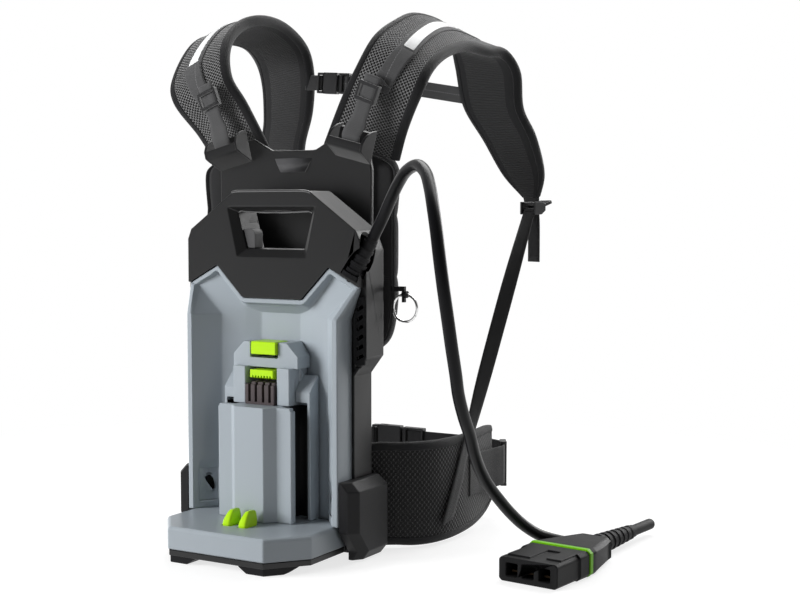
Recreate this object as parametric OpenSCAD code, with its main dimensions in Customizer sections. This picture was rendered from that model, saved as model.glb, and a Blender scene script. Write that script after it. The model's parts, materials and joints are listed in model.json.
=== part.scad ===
// Backpack battery carrier: a moulded pack with a battery bay, a padded
// harness and a power cord that ends in a three-pole connector.
// Millimetres, +Z up. The battery bay faces -Y and the wearer stands at +Y.
// The origin lies on the floor under the middle of the carrier.

/* [Carrier body] */
// Depth from the front edge of the shelf to the tips of the strap levers
overall_depth = 438; // [400:1:480]
// Half width of the body beside the battery bay
body_half = 108; // [100:1:114]
// Half width of the wings beside the handle
wing_half = 124; // [118:1:130]
// Height of the handle's top above the floor
handle_top = 416; // [400:1:430]
// Front plane of the handle and the upper body
upper_front = 110; // [104:1:116]
// Front plane of the body's side walls
body_front = 118; // [116:1:122]
// Rear plane of the body shell
body_back = 154; // [148:1:160]
// Wall thickness of the moulded parts
wall = 3; // [2:0.5:4]
// Clearance between neighbouring moulded parts
gap = 0.3; // [0.2:0.05:0.5]

/* [Handle window] */
// Half width of the window at its lower edge
window_low_half = 41; // [36:1:44]
// Half width of the window at its upper edge
window_high_half = 53; // [48:1:54]
// Height of the window's lower edge
window_low = 349; // [344:1:354]
// Height of the window's upper edge
window_high = 393; // [386:1:397]
// Width of the sloped rim round the window
window_rim = 9; // [5:1:12]

/* [Battery bay] */
// Height of the shelf's upper face
shelf_top = 41; // [36:1:46]
// Underside of the shelf's skirt
shelf_low = 15; // [12:1:18]
// Half width of the shelf at its front edge
shelf_front_half = 65; // [55:1:72]
// Half width of the shelf behind its chamfers
shelf_half = 100; // [92:1:103]
// Front plane of the cover's side rims
rim_front = 87; // [82:1:92]
// Height at which the cover's side rims start to slope back
rim_top = 272; // [262:1:280]

/* [Battery dock] */
// Height of the dock tower
dock_top = 243; // [236:1:250]
// Height of the guide rails
rail_top = 172; // [160:1:180]
// Half width of the dock's middle rib
rib_half = 20; // [17:1:24]
// Half width of the guide flanges
flange_half = 50; // [46:1:52]
// Half width of the release button and the latch
button_half = 17; // [14:1:19]
// Travel of the release button
button_travel = 4; // [3:0.5:5]
// Travel of the latch
latch_travel = 5; // [4:0.5:6]
// Travel of the ejector pads
ejector_travel = 8; // [5:0.5:9]

/* [Harness] */
// Half width of the back pad
pad_half = 127; // [120:1:132]
// Thickness of the back pad at its crown
pad_thick = 40; // [30:1:46]
// Thickness of the shoulder straps
strap_thick = 15; // [11:1:18]
// Width of the shoulder webbing
webbing_w = 20; // [18:1:25]
// Thickness of all webbing
webbing_t = 2; // [1.5:0.1:2.4]
// Thickness of the waist belt's wings
wing_thick = 14; // [10:1:16]
// Height of the waist belt's wings
wing_height = 120; // [100:1:126]
// Width of the belt webbing
belt_w = 50; // [38:1:54]

/* [Cord and connector] */
// Diameter of the power cord
cord_d = 13; // [11:0.5:14]
// Width of the connector's shell
conn_w = 72; // [66:1:78]
// Height of the connector's shell
conn_h = 27; // [24:1:30]
// Length of the connector's moulded body
conn_len = 148; // [140:1:156]

/* [Fasteners] */
// Shaft radius of the case screws
screw_r = 1.9; // [1.5:0.1:2.2]
// Radial clearance of a screw in its boss
screw_fit = 0.05; // [0.03:0.01:0.08]

/* [Hidden] */
$fn = 32;

// Colours of the mouldings and the harness
cover_grey = [0.62, 0.66, 0.69];
body_black = [0.17, 0.17, 0.18];
rubber_black = [0.08, 0.08, 0.08];
lime = [0.67, 0.95, 0.16];
mesh_black = [0.14, 0.14, 0.14];
webbing_grey = [0.33, 0.33, 0.34];
hardware_black = [0.12, 0.12, 0.12];

// The dimensions below are measured from the shelf's front edge, and
// place() moves them so that the origin is under the middle.
middle_y = overall_depth / 2;
module place() { translate([0, -middle_y, 0]) children(); }

// ---- shared shapes -------------------------------------------------------

function unit(v) = v / norm(v);
function blend4(a, b, c, d, t) =
    0.5 * ((2 * b) + (c - a) * t + (2 * a - 5 * b + 4 * c - d) * t * t
        + (3 * b - a - 3 * c + d) * t * t * t);
// A smooth row of stations through the given ones
function smooth(st, steps) = concat(
    [for (i = [0:len(st) - 2]) for (k = [0:steps - 1])
        blend4(st[max(i - 1, 0)], st[i], st[i + 1], st[min(i + 2, len(st) - 1)], k / steps)],
    [st[len(st) - 1]]);
function head(s) = [s[0], s[1], s[2]];
function tail(s) = [s[3], s[4], s[5]];
// Direction of travel at station i
function along(row, i) =
    unit(head(row[min(i + 1, len(row) - 1)]) - head(row[max(i - 1, 0)]));
// Rings of a band: each station is a centre and a half width vector, and
// the section is a list of [share of the half width, height across it]
function band_rings(row, section, thick, floor_z = -1000) =
    [for (i = [0:len(row) - 1])
        let (c = head(row[i]), w = tail(row[i]), n = unit(cross(along(row, i), w)),
             h = len(row[i]) > 6 ? row[i][6] * thick : thick)
        [for (s = section) let (p = c + w * s[0] + n * s[1] * h) [p[0], p[1], max(p[2], floor_z)]]];

// Closed solid through a list of rings with equal numbers of points
module loft(rings) {
    n = len(rings[0]);
    last = (len(rings) - 1) * n;
    points = [for (r = rings) each r];
    sides = [for (i = [0:len(rings) - 2]) for (j = [0:n - 1])
        let (a = i * n + j, b = i * n + (j + 1) % n)
        each [[a, a + n, b], [a + n, b + n, b]]];
    caps = [for (j = [1:n - 2]) each [[0, j, j + 1], [last, last + j + 1, last + j]]];
    polyhedron(points = points, faces = concat(sides, caps), convexity = 8);
}

// Section of a padded band: flat-backed, crowned and drawn in at its edges
cushion_section = [
    [1, 0], [0.97, 0.28], [0.86, 0.5], [0.55, 0.62], [0, 0.66], [-0.55, 0.62], [-0.86, 0.5],
    [-0.97, 0.28], [-1, 0], [-0.96, -0.2], [-0.84, -0.3], [-0.4, -0.34], [0.4, -0.34],
    [0.84, -0.3], [0.96, -0.2]];
// Section of a flat webbing
flat_section = [[1, 0.5], [-1, 0.5], [-1, -0.5], [1, -0.5]];

module band(stations, steps, section, thick, floor_z = -1000) {
    loft(band_rings(smooth(stations, steps), section, thick, floor_z));
}

// Plate between two Y planes from an outline drawn in X and Z
module slab_y(y0, y1) {
    translate([0, y1, 0]) rotate([90, 0, 0]) linear_extrude(y1 - y0) children();
}

module block(lo, hi) { translate(lo) cube(hi - lo); }

module mirrored() {
    children();
    mirror([1, 0, 0]) children();
}

// Turns +Z onto the line from a to b and starts at a
module aim(a, b) {
    d = b - a;
    translate(a) rotate([0, acos(d[2] / norm(d)), atan2(d[1], d[0])]) children();
}

module ring_tube(r_out, r_in, length) {
    difference() {
        cylinder(r = r_out, h = length);
        translate([0, 0, -1]) cylinder(r = r_in, h = length + 2);
    }
}

// ---- outlines ------------------------------------------------------------

// Heights of the wings' lower and upper corners
wing_low = 229;
wing_chamfer_low = wing_low - (wing_half - body_half) * 1.3;
wing_high = 350;
shoulder_x = 115;
shoulder_z = handle_top - 44;
handle_half = 53;
// Half width of the body at a height below the wings' upper corners
function wall_x(z) = body_half + (wing_half - body_half)
    * max(0, min(1, (z - wing_chamfer_low) / (wing_low - wing_chamfer_low)));

// Front view of the body shell
module body_outline() {
    polygon([
        [-body_half, shelf_low], [body_half, shelf_low],
        [body_half, wing_chamfer_low], [wing_half, wing_low],
        [wing_half, wing_high], [shoulder_x, shoulder_z], [handle_half, handle_top],
        [-handle_half, handle_top], [-shoulder_x, shoulder_z], [-wing_half, wing_high],
        [-wing_half, wing_low], [-body_half, wing_chamfer_low]]);
}

module window_outline(grow = 0) {
    polygon([
        [-window_low_half - grow * 0.8, window_low - grow], [window_low_half + grow * 0.8, window_low - grow],
        [window_high_half + grow, window_high + grow * 0.6], [-window_high_half - grow, window_high + grow * 0.6]]);
}

// Corners of the cover's ears and notch
ear_out = [118, 308];
ear_peak = [78, 329.5];
notch = [41, 292];
ear_front = 112;
bay_top = rim_top - 2;

module notch_outline() {
    polygon([
        [-wing_half - 5, rim_top - 20], [wing_half + 5, rim_top - 20], [wing_half + 5, ear_out[1]],
        ear_out, ear_peak, notch, [-notch[0], notch[1]], [-ear_peak[0], ear_peak[1]],
        [-ear_out[0], ear_out[1]], [-wing_half - 5, ear_out[1]]]);
}

// Outer side of the cover, inside the body's side wall
cover_side = body_half - wall - gap;
// Plan of the bay's faceted wall, from its rim to its middle
bay_steps = [[cover_side - 6.7, rim_front], [74.5, 115], [46, 123.5], [27.5, 130]];
cover_back = 133;

module bay_plan_half() {
    polygon([
        [0, bay_steps[3][1]], bay_steps[3], bay_steps[2], bay_steps[1], bay_steps[0],
        [cover_side - 0.7, rim_front], [cover_side, body_front - gap], [cover_side - wall, body_front - gap],
        [cover_side - 0.7 - wall, rim_front + wall], [cover_side - 5.7, rim_front + 2 * wall],
        [75, 115 + wall + 0.5], [46.5, 123.5 + wall], [28, cover_back], [0, cover_back]]);
}

shelf_chamfer_y = 42;
shelf_back = 118;
module shelf_outline(grow = 0) {
    polygon([
        [-shelf_front_half - grow * 0.5, -grow], [shelf_front_half + grow * 0.5, -grow],
        [shelf_half + grow, shelf_chamfer_y - grow * 0.5], [shelf_half + grow, shelf_back],
        [-shelf_half - grow, shelf_back], [-shelf_half - grow, shelf_chamfer_y - grow * 0.5]]);
}

// ---- base ----------------------------------------------------------------

base_low = 8;
base_top = 14.7;
base_screw_xy = [[70, 60], [70, 108]];
foot_low = [41, 78];
foot_high = [30, 88];
rear_foot_y = 146;

module rubber_feet() place() color(rubber_black) {
    intersection() {
        mirrored() hull() {
            block([foot_low[0], -1, 0], [foot_low[1], 30, 0.8]);
            block([foot_high[0], -1, base_low - 1], [foot_high[1], 36, base_low]);
        }
        linear_extrude(base_low) shelf_outline(-2.5);
    }
    for (s = [-1, 1]) translate([s * (body_half - 20), rear_foot_y, base_low / 2]) cube([30, 18, base_low], center = true);
}

module base_frame() place() color(body_black) difference() {
    union() {
        translate([0, 0, base_low]) linear_extrude(base_top - base_low) shelf_outline(-1.2);
        block([-cover_side + 1, shelf_back - 8, base_low], [cover_side - 1, body_front + 2, base_top]);
        block([-body_half + 0.5, body_front, base_low], [body_half - 0.5, body_back - 1, base_top]);
        // Bosses that carry the ejector springs and the shelf
        for (s = [-1, 1]) translate([s * ejector_x, ejector_y, base_low]) cylinder(r = 3.2, h = 14);
        for (s = [-1, 1], p = base_screw_xy)
            translate([s * p[0], p[1], base_low]) cylinder(r = 5, h = shelf_top - wall - gap - base_low);
    }
    for (s = [-1, 1], p = base_screw_xy)
        translate([s * p[0], p[1], base_low - 1]) cylinder(r = screw_r + screw_fit, h = 22);
    // Lightening pocket under the middle
    block([-42, 60, base_low - 1], [42, 104, base_low + 3]);
}

ejector_x = 11;
ejector_y = 47;
ejector_w = 12;
ejector_l = 24;
pad_top = shelf_top + 17;

module shelf_tray() place() color(cover_grey) difference() {
    hull() {
        translate([0, 0, shelf_low]) linear_extrude(shelf_top - shelf_low - 3) shelf_outline(0);
        translate([0, 0, shelf_top - 1]) linear_extrude(1) shelf_outline(-2.2);
    }
    translate([0, 0, shelf_low - 1]) linear_extrude(shelf_top - shelf_low - wall + 1) shelf_outline(-wall);
    for (s = [-1, 1])
        block([s * ejector_x - ejector_w / 2 - gap, ejector_y - ejector_l / 2 - gap, shelf_low],
              [s * ejector_x + ejector_w / 2 + gap, ejector_y + ejector_l / 2 + gap, shelf_top + 1]);
}

module ejector(side) place() color(lime) translate([side * ejector_x, ejector_y, 0]) {
    // Fin that leans back and narrows upwards
    hull() {
        translate([-ejector_w / 2, -ejector_l / 2, shelf_top + 4]) cube([ejector_w, ejector_l, 1]);
        translate([-ejector_w / 2 + 1.8, -ejector_l / 2 + 4.6, shelf_top + 11.5]) cube([ejector_w - 2.4, ejector_l - 5.4, 1]);
        translate([-ejector_w / 2 + 4.2, -ejector_l / 2 + 9.5, pad_top - 1]) cube([ejector_w - 6.6, ejector_l - 13, 1]);
    }
    translate([-ejector_w / 2, -ejector_l / 2, shelf_top - 9]) cube([ejector_w, ejector_l, 14]);
    // Flange that stays under the shelf
    translate([-ejector_w / 2 + 1, -ejector_l / 2 - 3, shelf_top - 9])
        cube([ejector_w - 2, ejector_l + 6, 9 - wall - gap]);
}
module ejector_left() ejector(-1);
module ejector_right() ejector(1);

ejector_spring_low = base_top + 0.2;
module ejector_spring(side) place() color("silver")
    translate([side * ejector_x, ejector_y, ejector_spring_low])
        ring_tube(4.8, 3.6, shelf_top - 9.2 - ejector_spring_low);
module ejector_spring_left() ejector_spring(-1);
module ejector_spring_right() ejector_spring(1);

// ---- front cover ---------------------------------------------------------

module corner(x, y, z) { translate([x, y, z]) cube(0.4, center = true); }

module cover_ear() {
    z0 = bay_top;
    hull() {
        corner(bay_steps[0][0], rim_front + 0.2, z0);
        corner(cover_side - 0.9, rim_front + 0.2, z0);
        corner(cover_side - 0.2, body_front - gap - 0.2, z0);
        corner(bay_steps[1][0], bay_steps[1][1] + wall, z0);
        corner(bay_steps[1][0], bay_steps[1][1] + 0.2, z0);
        corner(bay_steps[2][0], bay_steps[2][1] + 0.2, z0);
        for (p = [ear_out, ear_peak, notch], y = [ear_front + 0.2, body_front - gap - 0.2])
            corner(p[0] - 0.2, y, p[1] - 0.2);
    }
}

module front_cover() place() color(cover_grey) difference() {
    union() {
        translate([0, 0, shelf_top + gap]) linear_extrude(bay_top - shelf_top) {
            bay_plan_half();
            mirror([1, 0]) bay_plan_half();
        }
        mirrored() cover_ear();
        // Sloped band between the notch and the bay's middle
        hull() for (s = [-1, 1]) {
            corner(s * notch[0], ear_front + 0.2, notch[1] - 0.2);
            corner(s * notch[0], body_front - gap - 0.2, notch[1] - 0.2);
            corner(s * bay_steps[2][0], bay_steps[2][1] + 0.2, bay_top);
            corner(s * bay_steps[2][0], bay_steps[2][1] + wall - 0.2, bay_top);
            corner(s * bay_steps[3][0], bay_steps[3][1] + 0.2, bay_top);
            corner(s * bay_steps[3][0], cover_back - 0.2, bay_top);
        }
    }
    // Recess and lozenge opening low in each side wall
    mirrored() {
        wall_turn = atan2(bay_steps[1][1] - rim_front, bay_steps[0][0] - bay_steps[1][0]);
        translate([(bay_steps[0][0] + bay_steps[1][0]) / 2, (rim_front + bay_steps[1][1]) / 2, 66])
            rotate([0, 0, -wall_turn]) rotate([90, 0, 0]) {
                translate([0, 0, -1.2]) linear_extrude(20) polygon([[-14, -25], [12, -25], [12, 16], [-14, 20]]);
                translate([0, 0, -12]) linear_extrude(30) polygon([[-9, -2], [-1, 11], [5, 2], [-3, -11]]);
            }
    }
    gland_channel(13.5, 40);
    gland_bore();
    // Passage for the leads behind the dock
    block([-9, 120, 182], [9, 140, 196]);
}

// ---- body shell ----------------------------------------------------------

gland_at = [106, 117, 320];
relief_end = [127, 126, 362];
relief_top_r = 7.4;
relief_low_r = 10.5;
boss_xz = [[body_half - 18, 60], [body_half - 18, 180], [112, 320], [64.5, handle_top - 19]];

// Rear plane of the handle's grip and half width of the gap behind it
grip_back = 136;
finger_half = 50;
module gland_bore() {
    step = unit(relief_end - gland_at);
    aim(gland_at - step * 14, relief_end) cylinder(r = 5, h = 14);
}
module gland_channel(r, extra) {
    step = unit(relief_end - gland_at);
    aim(gland_at - step * 2, relief_end) cylinder(r = r, h = norm(relief_end - gland_at) + extra);
}

module back_frame() place() color(body_black) difference() {
    union() {
        // Side walls and the shell of the wings and the handle
        difference() {
            slab_y(body_front, body_back) body_outline();
            slab_y(body_front - 1, body_back + 1) difference() {
                offset(delta = -wall) body_outline();
                window_outline(wall);
            }
        }
        // Front wall of the wings
        slab_y(body_front + 1, body_front + 1 + wall) difference() {
            body_outline();
            polygon([[-cover_side, 0], [cover_side, 0], [cover_side, ear_out[1] - 10], [ear_peak[0] + 16, ear_peak[1] - 6],
                [-ear_peak[0] - 16, ear_peak[1] - 6], [-cover_side, ear_out[1] - 10]]);
            window_outline();
        }
        // Upper front panel that carries the handle
        slab_y(upper_front, body_front + 2) difference() {
            intersection() {
                body_outline();
                translate([-120, 260]) square([240, 170]);
            }
            offset(delta = gap) notch_outline();
        }
        for (s = [-1, 1], p = boss_xz)
            translate([s * p[0], body_back - 12, p[1]]) rotate([-90, 0, 0]) cylinder(r = 4.5, h = 12);
        // Web that holds the lower bosses to the side walls
        for (s = [-1, 1], z = [60, 180])
            block([s > 0 ? body_half - 18 : 1 - body_half, body_back - 12, z - 2],
                  [s > 0 ? body_half - 1 : 18 - body_half, body_back - 1, z + 2]);
        for (s = [-1, 1]) block([s > 0 ? 112 : -wing_half + 1, body_back - 12, 318], [s > 0 ? wing_half - 1 : -112, body_back - 1, 322]);
        // Solid grip of the handle and the cheeks beside its finger gap
        slab_y(upper_front, grip_back) intersection() {
            body_outline();
            translate([-66, window_high]) square([132, 40]);
        }
        for (s = [-1, 1]) slab_y(body_front, body_back) intersection() {
            body_outline();
            translate([s > 0 ? finger_half : -finger_half - 3, window_low - 2]) square([3, handle_top - window_low + 13]);
        }
        // Web from each cheek to the boss beside it
        for (s = [-1, 1]) block([s > 0 ? finger_half + 1 : -boss_xz[3][0], body_back - 12, boss_xz[3][1] - 2],
                                [s > 0 ? boss_xz[3][0] : -finger_half - 1, body_back - 1, boss_xz[3][1] + 2]);
        // Board posts
        for (s = [-1, 1], z = [120, 200])
            block([s > 0 ? 76 : 1 - wall_x(z), 139, z], [s > 0 ? wall_x(z) - 1 : -76, 143 - gap, z + 6]);
    }
    // Sloped rim and tunnel of the handle window
    slab_y(upper_front - 1, body_back + 1) window_outline();
    hull() {
        slab_y(upper_front - 0.1, upper_front) window_outline(window_rim);
        slab_y(upper_front + window_rim - 1, upper_front + window_rim) window_outline();
    }
    // Finger gap behind the grip, open at the top
    block([-finger_half, grip_back, window_high - 14], [finger_half, body_back + 1, handle_top + 1]);
    // Channel of the cord's strain relief
    gland_channel(13.5, 40);
    gland_bore();
    for (s = [-1, 1], p = boss_xz)
        translate([s * p[0], body_back - 10, p[1]]) rotate([-90, 0, 0]) cylinder(r = screw_r + screw_fit, h = 12);
    // Seats of the vent grilles
    mirrored() block([vent_x0 - gap, body_front - 1, vent_z0 - gap], [vent_x1 + gap, body_front + 2.7, vent_z1 + gap]);
    mirrored() block([vent_x0 + 3, body_front, vent_z0 + 6], [vent_x1 - 3, body_front + 6, vent_z1 - 6]);
}

vent_x0 = 109;
vent_x1 = 122;
vent_z0 = 218;
vent_z1 = 298;
module vent_grilles() place() color(rubber_black) mirrored() difference() {
    block([vent_x0, body_front - 0.6, vent_z0 + 3], [vent_x1, body_front + 2.4, vent_z1]);
    // Clears the slope of the cover's ear
    slab_y(body_front - 2, body_front + 1.2) polygon([
        [vent_x0 - 1, bay_top - 2], [cover_side + 2 * gap, bay_top - 2],
        [ear_out[0] + 2 * gap, ear_out[1]], [vent_x0 - 1, ear_out[1]]]);
    for (z = [vent_z0 + 8:11:vent_z1 - 14])
        translate([(vent_x0 + vent_x1) / 2, body_front + 1, z + 4]) rotate([0, -30, 0])
            cube([9, 6, 4], center = true);
}

// Grey hook inside the handle window
module window_hook() place() color([0.42, 0.42, 0.43]) intersection() {
    slab_y(121, 137) hull() {
        translate([-window_high_half, window_low]) square([window_high_half - window_low_half + 11, 16]);
        translate([-window_high_half, window_low]) square([window_high_half - window_low_half + 5, 23]);
        translate([5 - window_low_half, window_low + 17]) circle(r = 6);
    }
    slab_y(120, 138) offset(delta = -gap) window_outline();
}

rear_cover_t = 3;
module rear_cover() place() color(body_black) difference() {
    slab_y(body_back + gap / 2, body_back + rear_cover_t) offset(delta = -0.8) body_outline();
    slab_y(body_back - 1, body_back + 5) window_outline(1);
    block([-finger_half, body_back - 1, window_high - 14], [finger_half, body_back + 5, handle_top + 1]);
    for (s = [-1, 1], p = boss_xz)
        translate([s * p[0], body_back - 1, p[1]]) rotate([-90, 0, 0]) {
            cylinder(r = screw_r + screw_fit, h = 8);
            translate([0, 0, 2.2]) cylinder(r = 3.6, h = 8);
        }
}

module case_screws() place() color("dimgray") {
    for (s = [-1, 1], p = boss_xz) translate([s * p[0], body_back - 8, p[1]]) rotate([-90, 0, 0]) {
        cylinder(r = screw_r, h = 10);
        translate([0, 0, 9.2]) difference() {
            cylinder(r = 3.4, h = 1.7);
            translate([0, 0, 0.8]) cylinder(r = 1.4, h = 3, $fn = 6);
        }
    }
    for (s = [-1, 1], p = base_screw_xy) translate([s * p[0], p[1], base_low - 1.8]) {
        cylinder(r = 3.4, h = 1.8);
        cylinder(r = screw_r, h = 16);
    }
}

// ---- bumpers -------------------------------------------------------------

bumper_out = body_half + 18.2;
bumper_front = 88;
bumper_back = 164.6;
bumper_top = 92;
// Heights of the side face, below and above which the bumper is chamfered
bumper_face = [11, 81.5];
// Plan at a height: inset of the outer side and plane of the front
module bumper_plan(z, inset, front) {
    translate([0, 0, z]) linear_extrude(0.5) polygon([
        [cover_side + 2 * gap, front], [bumper_out - 8.9 - inset * 0.9, front], [bumper_out - inset, front + 11],
        [bumper_out - inset, bumper_back - 4 - inset * 0.3], [bumper_out - 4 - inset, bumper_back - inset * 0.3],
        [cover_side + 2 * gap, bumper_back - inset * 0.3]]);
}
module side_bumper() place() color(body_black) difference() {
    hull() {
        bumper_plan(0, 8, bumper_front + 20);
        bumper_plan(bumper_face[0], 0, bumper_front + 20);
        bumper_plan(35, 0, bumper_front);
        bumper_plan(bumper_face[1], 0, bumper_front);
        bumper_plan(bumper_top - 0.5, 10, bumper_front);
    }
    // Seat against the body's side wall
    block([body_half - 20, body_front - 1, -1], [body_half + gap, bumper_back + 1, bumper_top + 1]);
    // Front groove between the pad and the shell
    block([body_half + 4.2, bumper_front - 1, 40], [body_half + 5.4, bumper_front + 4, bumper_face[1]]);
    block([body_half - 6, bumper_front + 36, bumper_face[0] + 2], [bumper_out - 3, bumper_back - 5, bumper_face[1] - 3]);
}
module side_bumper_left() mirror([1, 0, 0]) side_bumper();
module side_bumper_right() side_bumper();

// ---- dock ----------------------------------------------------------------

cap_front = 98;
cap_low = 214;
cap_half = 45;
tower_front = 110;
tower_back = 129.7;
tower_half = 26;
fin_half = 60;

module cap_outline() {
    polygon([
        [-cap_half, cap_low], [cap_half, cap_low], [cap_half, dock_top - 15], [cap_half - 15, dock_top],
        [-cap_half + 15, dock_top], [-cap_half, dock_top - 15]]);
}

// The tower's plan stays clear of the cover's faceted wall
module tower_plan(half) {
    polygon([
        [-half, tower_front], [half, tower_front], [half, min(123.2, 130.3 - (half - 27.5) * 0.38)],
        [27, tower_back], [-27, tower_back], [-half, min(123.2, 130.3 - (half - 27.5) * 0.38)]]);
}

module dock_tower() place() color(cover_grey) difference() {
    union() {
        intersection() {
            slab_y(cap_front, tower_back) cap_outline();
            translate([0, 0, cap_low - 1]) linear_extrude(60) union() {
                translate([0, cap_front - tower_front]) tower_plan(cap_half);
                tower_plan(cap_half);
            }
        }
        translate([0, 0, shelf_top + gap]) linear_extrude(cap_low - shelf_top - gap) tower_plan(41);
        // Cheeks either side of the contacts
        for (s = [-1, 1])
            block([s > 0 ? button_half + 5 : -39, 89, rail_top + gap], [s > 0 ? 39 : -button_half - 5, tower_front + 1, cap_low + 1]);
        // Side fins with sloped tops
        for (s = [-1, 1]) difference() {
            block([s > 0 ? 40 : -fin_half, 100, shelf_top + gap], [s > 0 ? fin_half : -40, 118, 206]);
            translate([-70, 100, 188]) rotate([48, 0, 0]) translate([0, -40, 0]) cube([140, 80, 60]);
            block([s > 0 ? 39 : -fin_half + 4, 99, shelf_top], [s > 0 ? fin_half - 4 : -39, 109.9, rail_top + 4]);
        }
    }
    // Well of the release button, open to the front and the top
    block([-button_half - 4, cap_front - 1, button_low - button_travel - gap],
          [button_half + gap, 120, dock_top + 1]);
    translate([0, 112.5, spring_low]) cylinder(r = 5.2, h = 30);
    // Window of the latch
    block([-button_half - gap, cap_front - 5, latch_low - gap], [button_half + gap, 126, latch_high + gap]);
    // Cavity for the leads
    block([-9, tower_front + 8, 60], [9, tower_back + 1, 196]);
    block([-9, tower_front - 1, 176], [9, tower_back + 1, 194]);
}

button_low = 229;
// Rear end of the button and the latch
dock_slide_back = 119.5;
spring_low = 217;
latch_low = 199.5;
latch_high = 211.5;
module release_button() place() color(lime) difference() {
    union() {
        block([-button_half, cap_front - 4.5, button_low], [button_half, dock_slide_back, dock_top + 0.8]);
    }
    // Front edges are broken
    translate([0, cap_front - 4.5, dock_top + 0.8]) rotate([45, 0, 0]) cube([60, 2, 2], center = true);
}

module button_spring() place() color("silver")
    translate([0, 112.5, spring_low + 0.2]) ring_tube(4.4, 3.4, button_low - spring_low - 0.4);

module latch() place() color(lime) difference() {
    union() {
        block([-button_half + 1, 90, latch_low + 3], [button_half - 1, dock_slide_back, latch_high]);
        hull() {
            block([-button_half + 1, 90, latch_low + 3], [button_half - 1, 91, latch_low + 4]);
            block([-button_half + 1, 102, latch_low], [button_half - 1, 103, latch_low + 4]);
        }
        block([-button_half + 1, 102, latch_low], [button_half - 1, 112, latch_low + 4]);
    }
    // Grip grooves on the lower front edge
    for (x = [-12:4:12]) translate([x, 90, latch_low + 3]) cube([1.6, 6, 5], center = true);
}

module rail_plan_half() {
    polygon([
        [0, 64], [rib_half, 64], [rib_half + 11.3, 75.3], [flange_half, 75.3], [flange_half + 1.5, 76.8],
        [flange_half + 1.5, 83], [rib_half + 12, 83], [rib_half + 12, tower_front - gap],
        [rib_half + 8, tower_front - gap], [rib_half + 8, 77.7], [rib_half - 1.7, 68], [0, 68]]);
}

module dock_rails() place() color(cover_grey) {
    translate([0, 0, shelf_top + gap]) linear_extrude(rail_top - shelf_top - gap - 3) {
        rail_plan_half();
        mirror([1, 0]) rail_plan_half();
    }
    // Top plates of the rib and the flanges
    translate([0, 0, rail_top - 3]) linear_extrude(3) polygon([
        [-rib_half, 64], [rib_half, 64], [rib_half + 11.3, 75.3], [flange_half - 1, 75.3], [flange_half - 1, 83],
        [rib_half + 12, 83], [rib_half + 12, tower_front - gap], [-rib_half - 12, tower_front - gap],
        [-rib_half - 12, 83], [1 - flange_half, 83], [1 - flange_half, 75.3], [-rib_half - 11.3, 75.3]]);
}

term_half = 20;
term_top = 198;
module terminal_block() place() color([0.36, 0.34, 0.35]) difference() {
    union() {
        block([-term_half, 86, rail_top + gap / 2], [term_half, tower_front - gap, term_top - 3]);
        block([-term_half + 5, 88, term_top - 3.1], [term_half, tower_front - gap, term_top]);
    }
    for (x = blade_x) block([x - 1.6, 85, rail_top + 3], [x + 1.6, 104, term_top + 1]);
}

blade_x = [-14, -5, 5, 14];
module terminal_blades() place() color([0.72, 0.45, 0.25])
    for (x = blade_x) block([x - 0.5, 92, rail_top + 3], [x + 0.5, 104, term_top - 5]);

// ---- inside --------------------------------------------------------------

board_y = 143;
module power_board() place() color([0.05, 0.3, 0.15]) {
    block([-82, board_y, 116], [82, board_y + 1.6, 226]);
    block([-60, board_y + 1.6, 140], [-30, board_y + 9, 170]);
    block([20, board_y + 1.6, 150], [60, board_y + 8, 200]);
    for (x = [-10, 4]) translate([x, board_y + 1.6, 190]) rotate([-90, 0, 0]) cylinder(r = 6, h = 8);
    // Fuse in its holder
    block([-80, board_y + 1.6, 196], [-50, board_y + 7, 208]);
}

lead_route = [[3, 113, 186], [3, 124, 187], [5, 135, 190], [20, 138, 200], [50, 138, 236],
    [64, 138, 280], [70, 137, 296], [72, 137, 314], [84, 132, 323], [96, 128, 318]];
module inner_leads() place() color("maroon") for (s = [-1, 1])
    loft(tube_rings([for (p = smooth(lead_route, 2)) p + [s * 2.2, 0, -s * 2.2]], 2, 6));

module cable_clamp() place() color(body_black) difference() {
    block([60, 122.2, 302], [82, 145.5, 312]);
    translate([71, 137, 301]) cylinder(r = 6.4, h = 12);
}

// ---- cord ----------------------------------------------------------------

function tube_rings(path, r, sides) = [for (i = [0:len(path) - 1])
    let (t = unit(path[min(i + 1, len(path) - 1)] - path[max(i - 1, 0)]),
         u = unit(cross(t, abs(t[1]) > 0.8 ? [1, 0, 0] : [0, 1, 0])), v = cross(t, u))
    [for (k = [0:sides - 1]) let (a = 360 * k / sides) path[i] + r * (u * cos(a) + v * sin(a))]];

module cord_gland() place() color(rubber_black) {
    step = unit(relief_end - gland_at);
    aim(gland_at - step * 2, relief_end) difference() {
        union() {
            cylinder(r = 12.6, h = 5);
            translate([0, 0, -5]) cylinder(r = 4.2, h = 6);
        }
        translate([0, 0, -6]) cylinder(r = 2.6, h = 12);
    }
}

relief_ribs = 5;
module strain_relief() place() color(rubber_black) {
    reach = norm(relief_end - gland_at) - 3.3;
    step = unit(relief_end - gland_at);
    aim(gland_at + step * 3.3, relief_end) {
        cylinder(r1 = relief_low_r - 1.6, r2 = relief_top_r - 0.2, h = reach);
        for (k = [0:relief_ribs - 1]) let (z = 1 + k * reach / relief_ribs)
            translate([0, 0, z]) cylinder(r = relief_low_r - k * (relief_low_r - relief_top_r) / relief_ribs, h = 4);
    }
}

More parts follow.
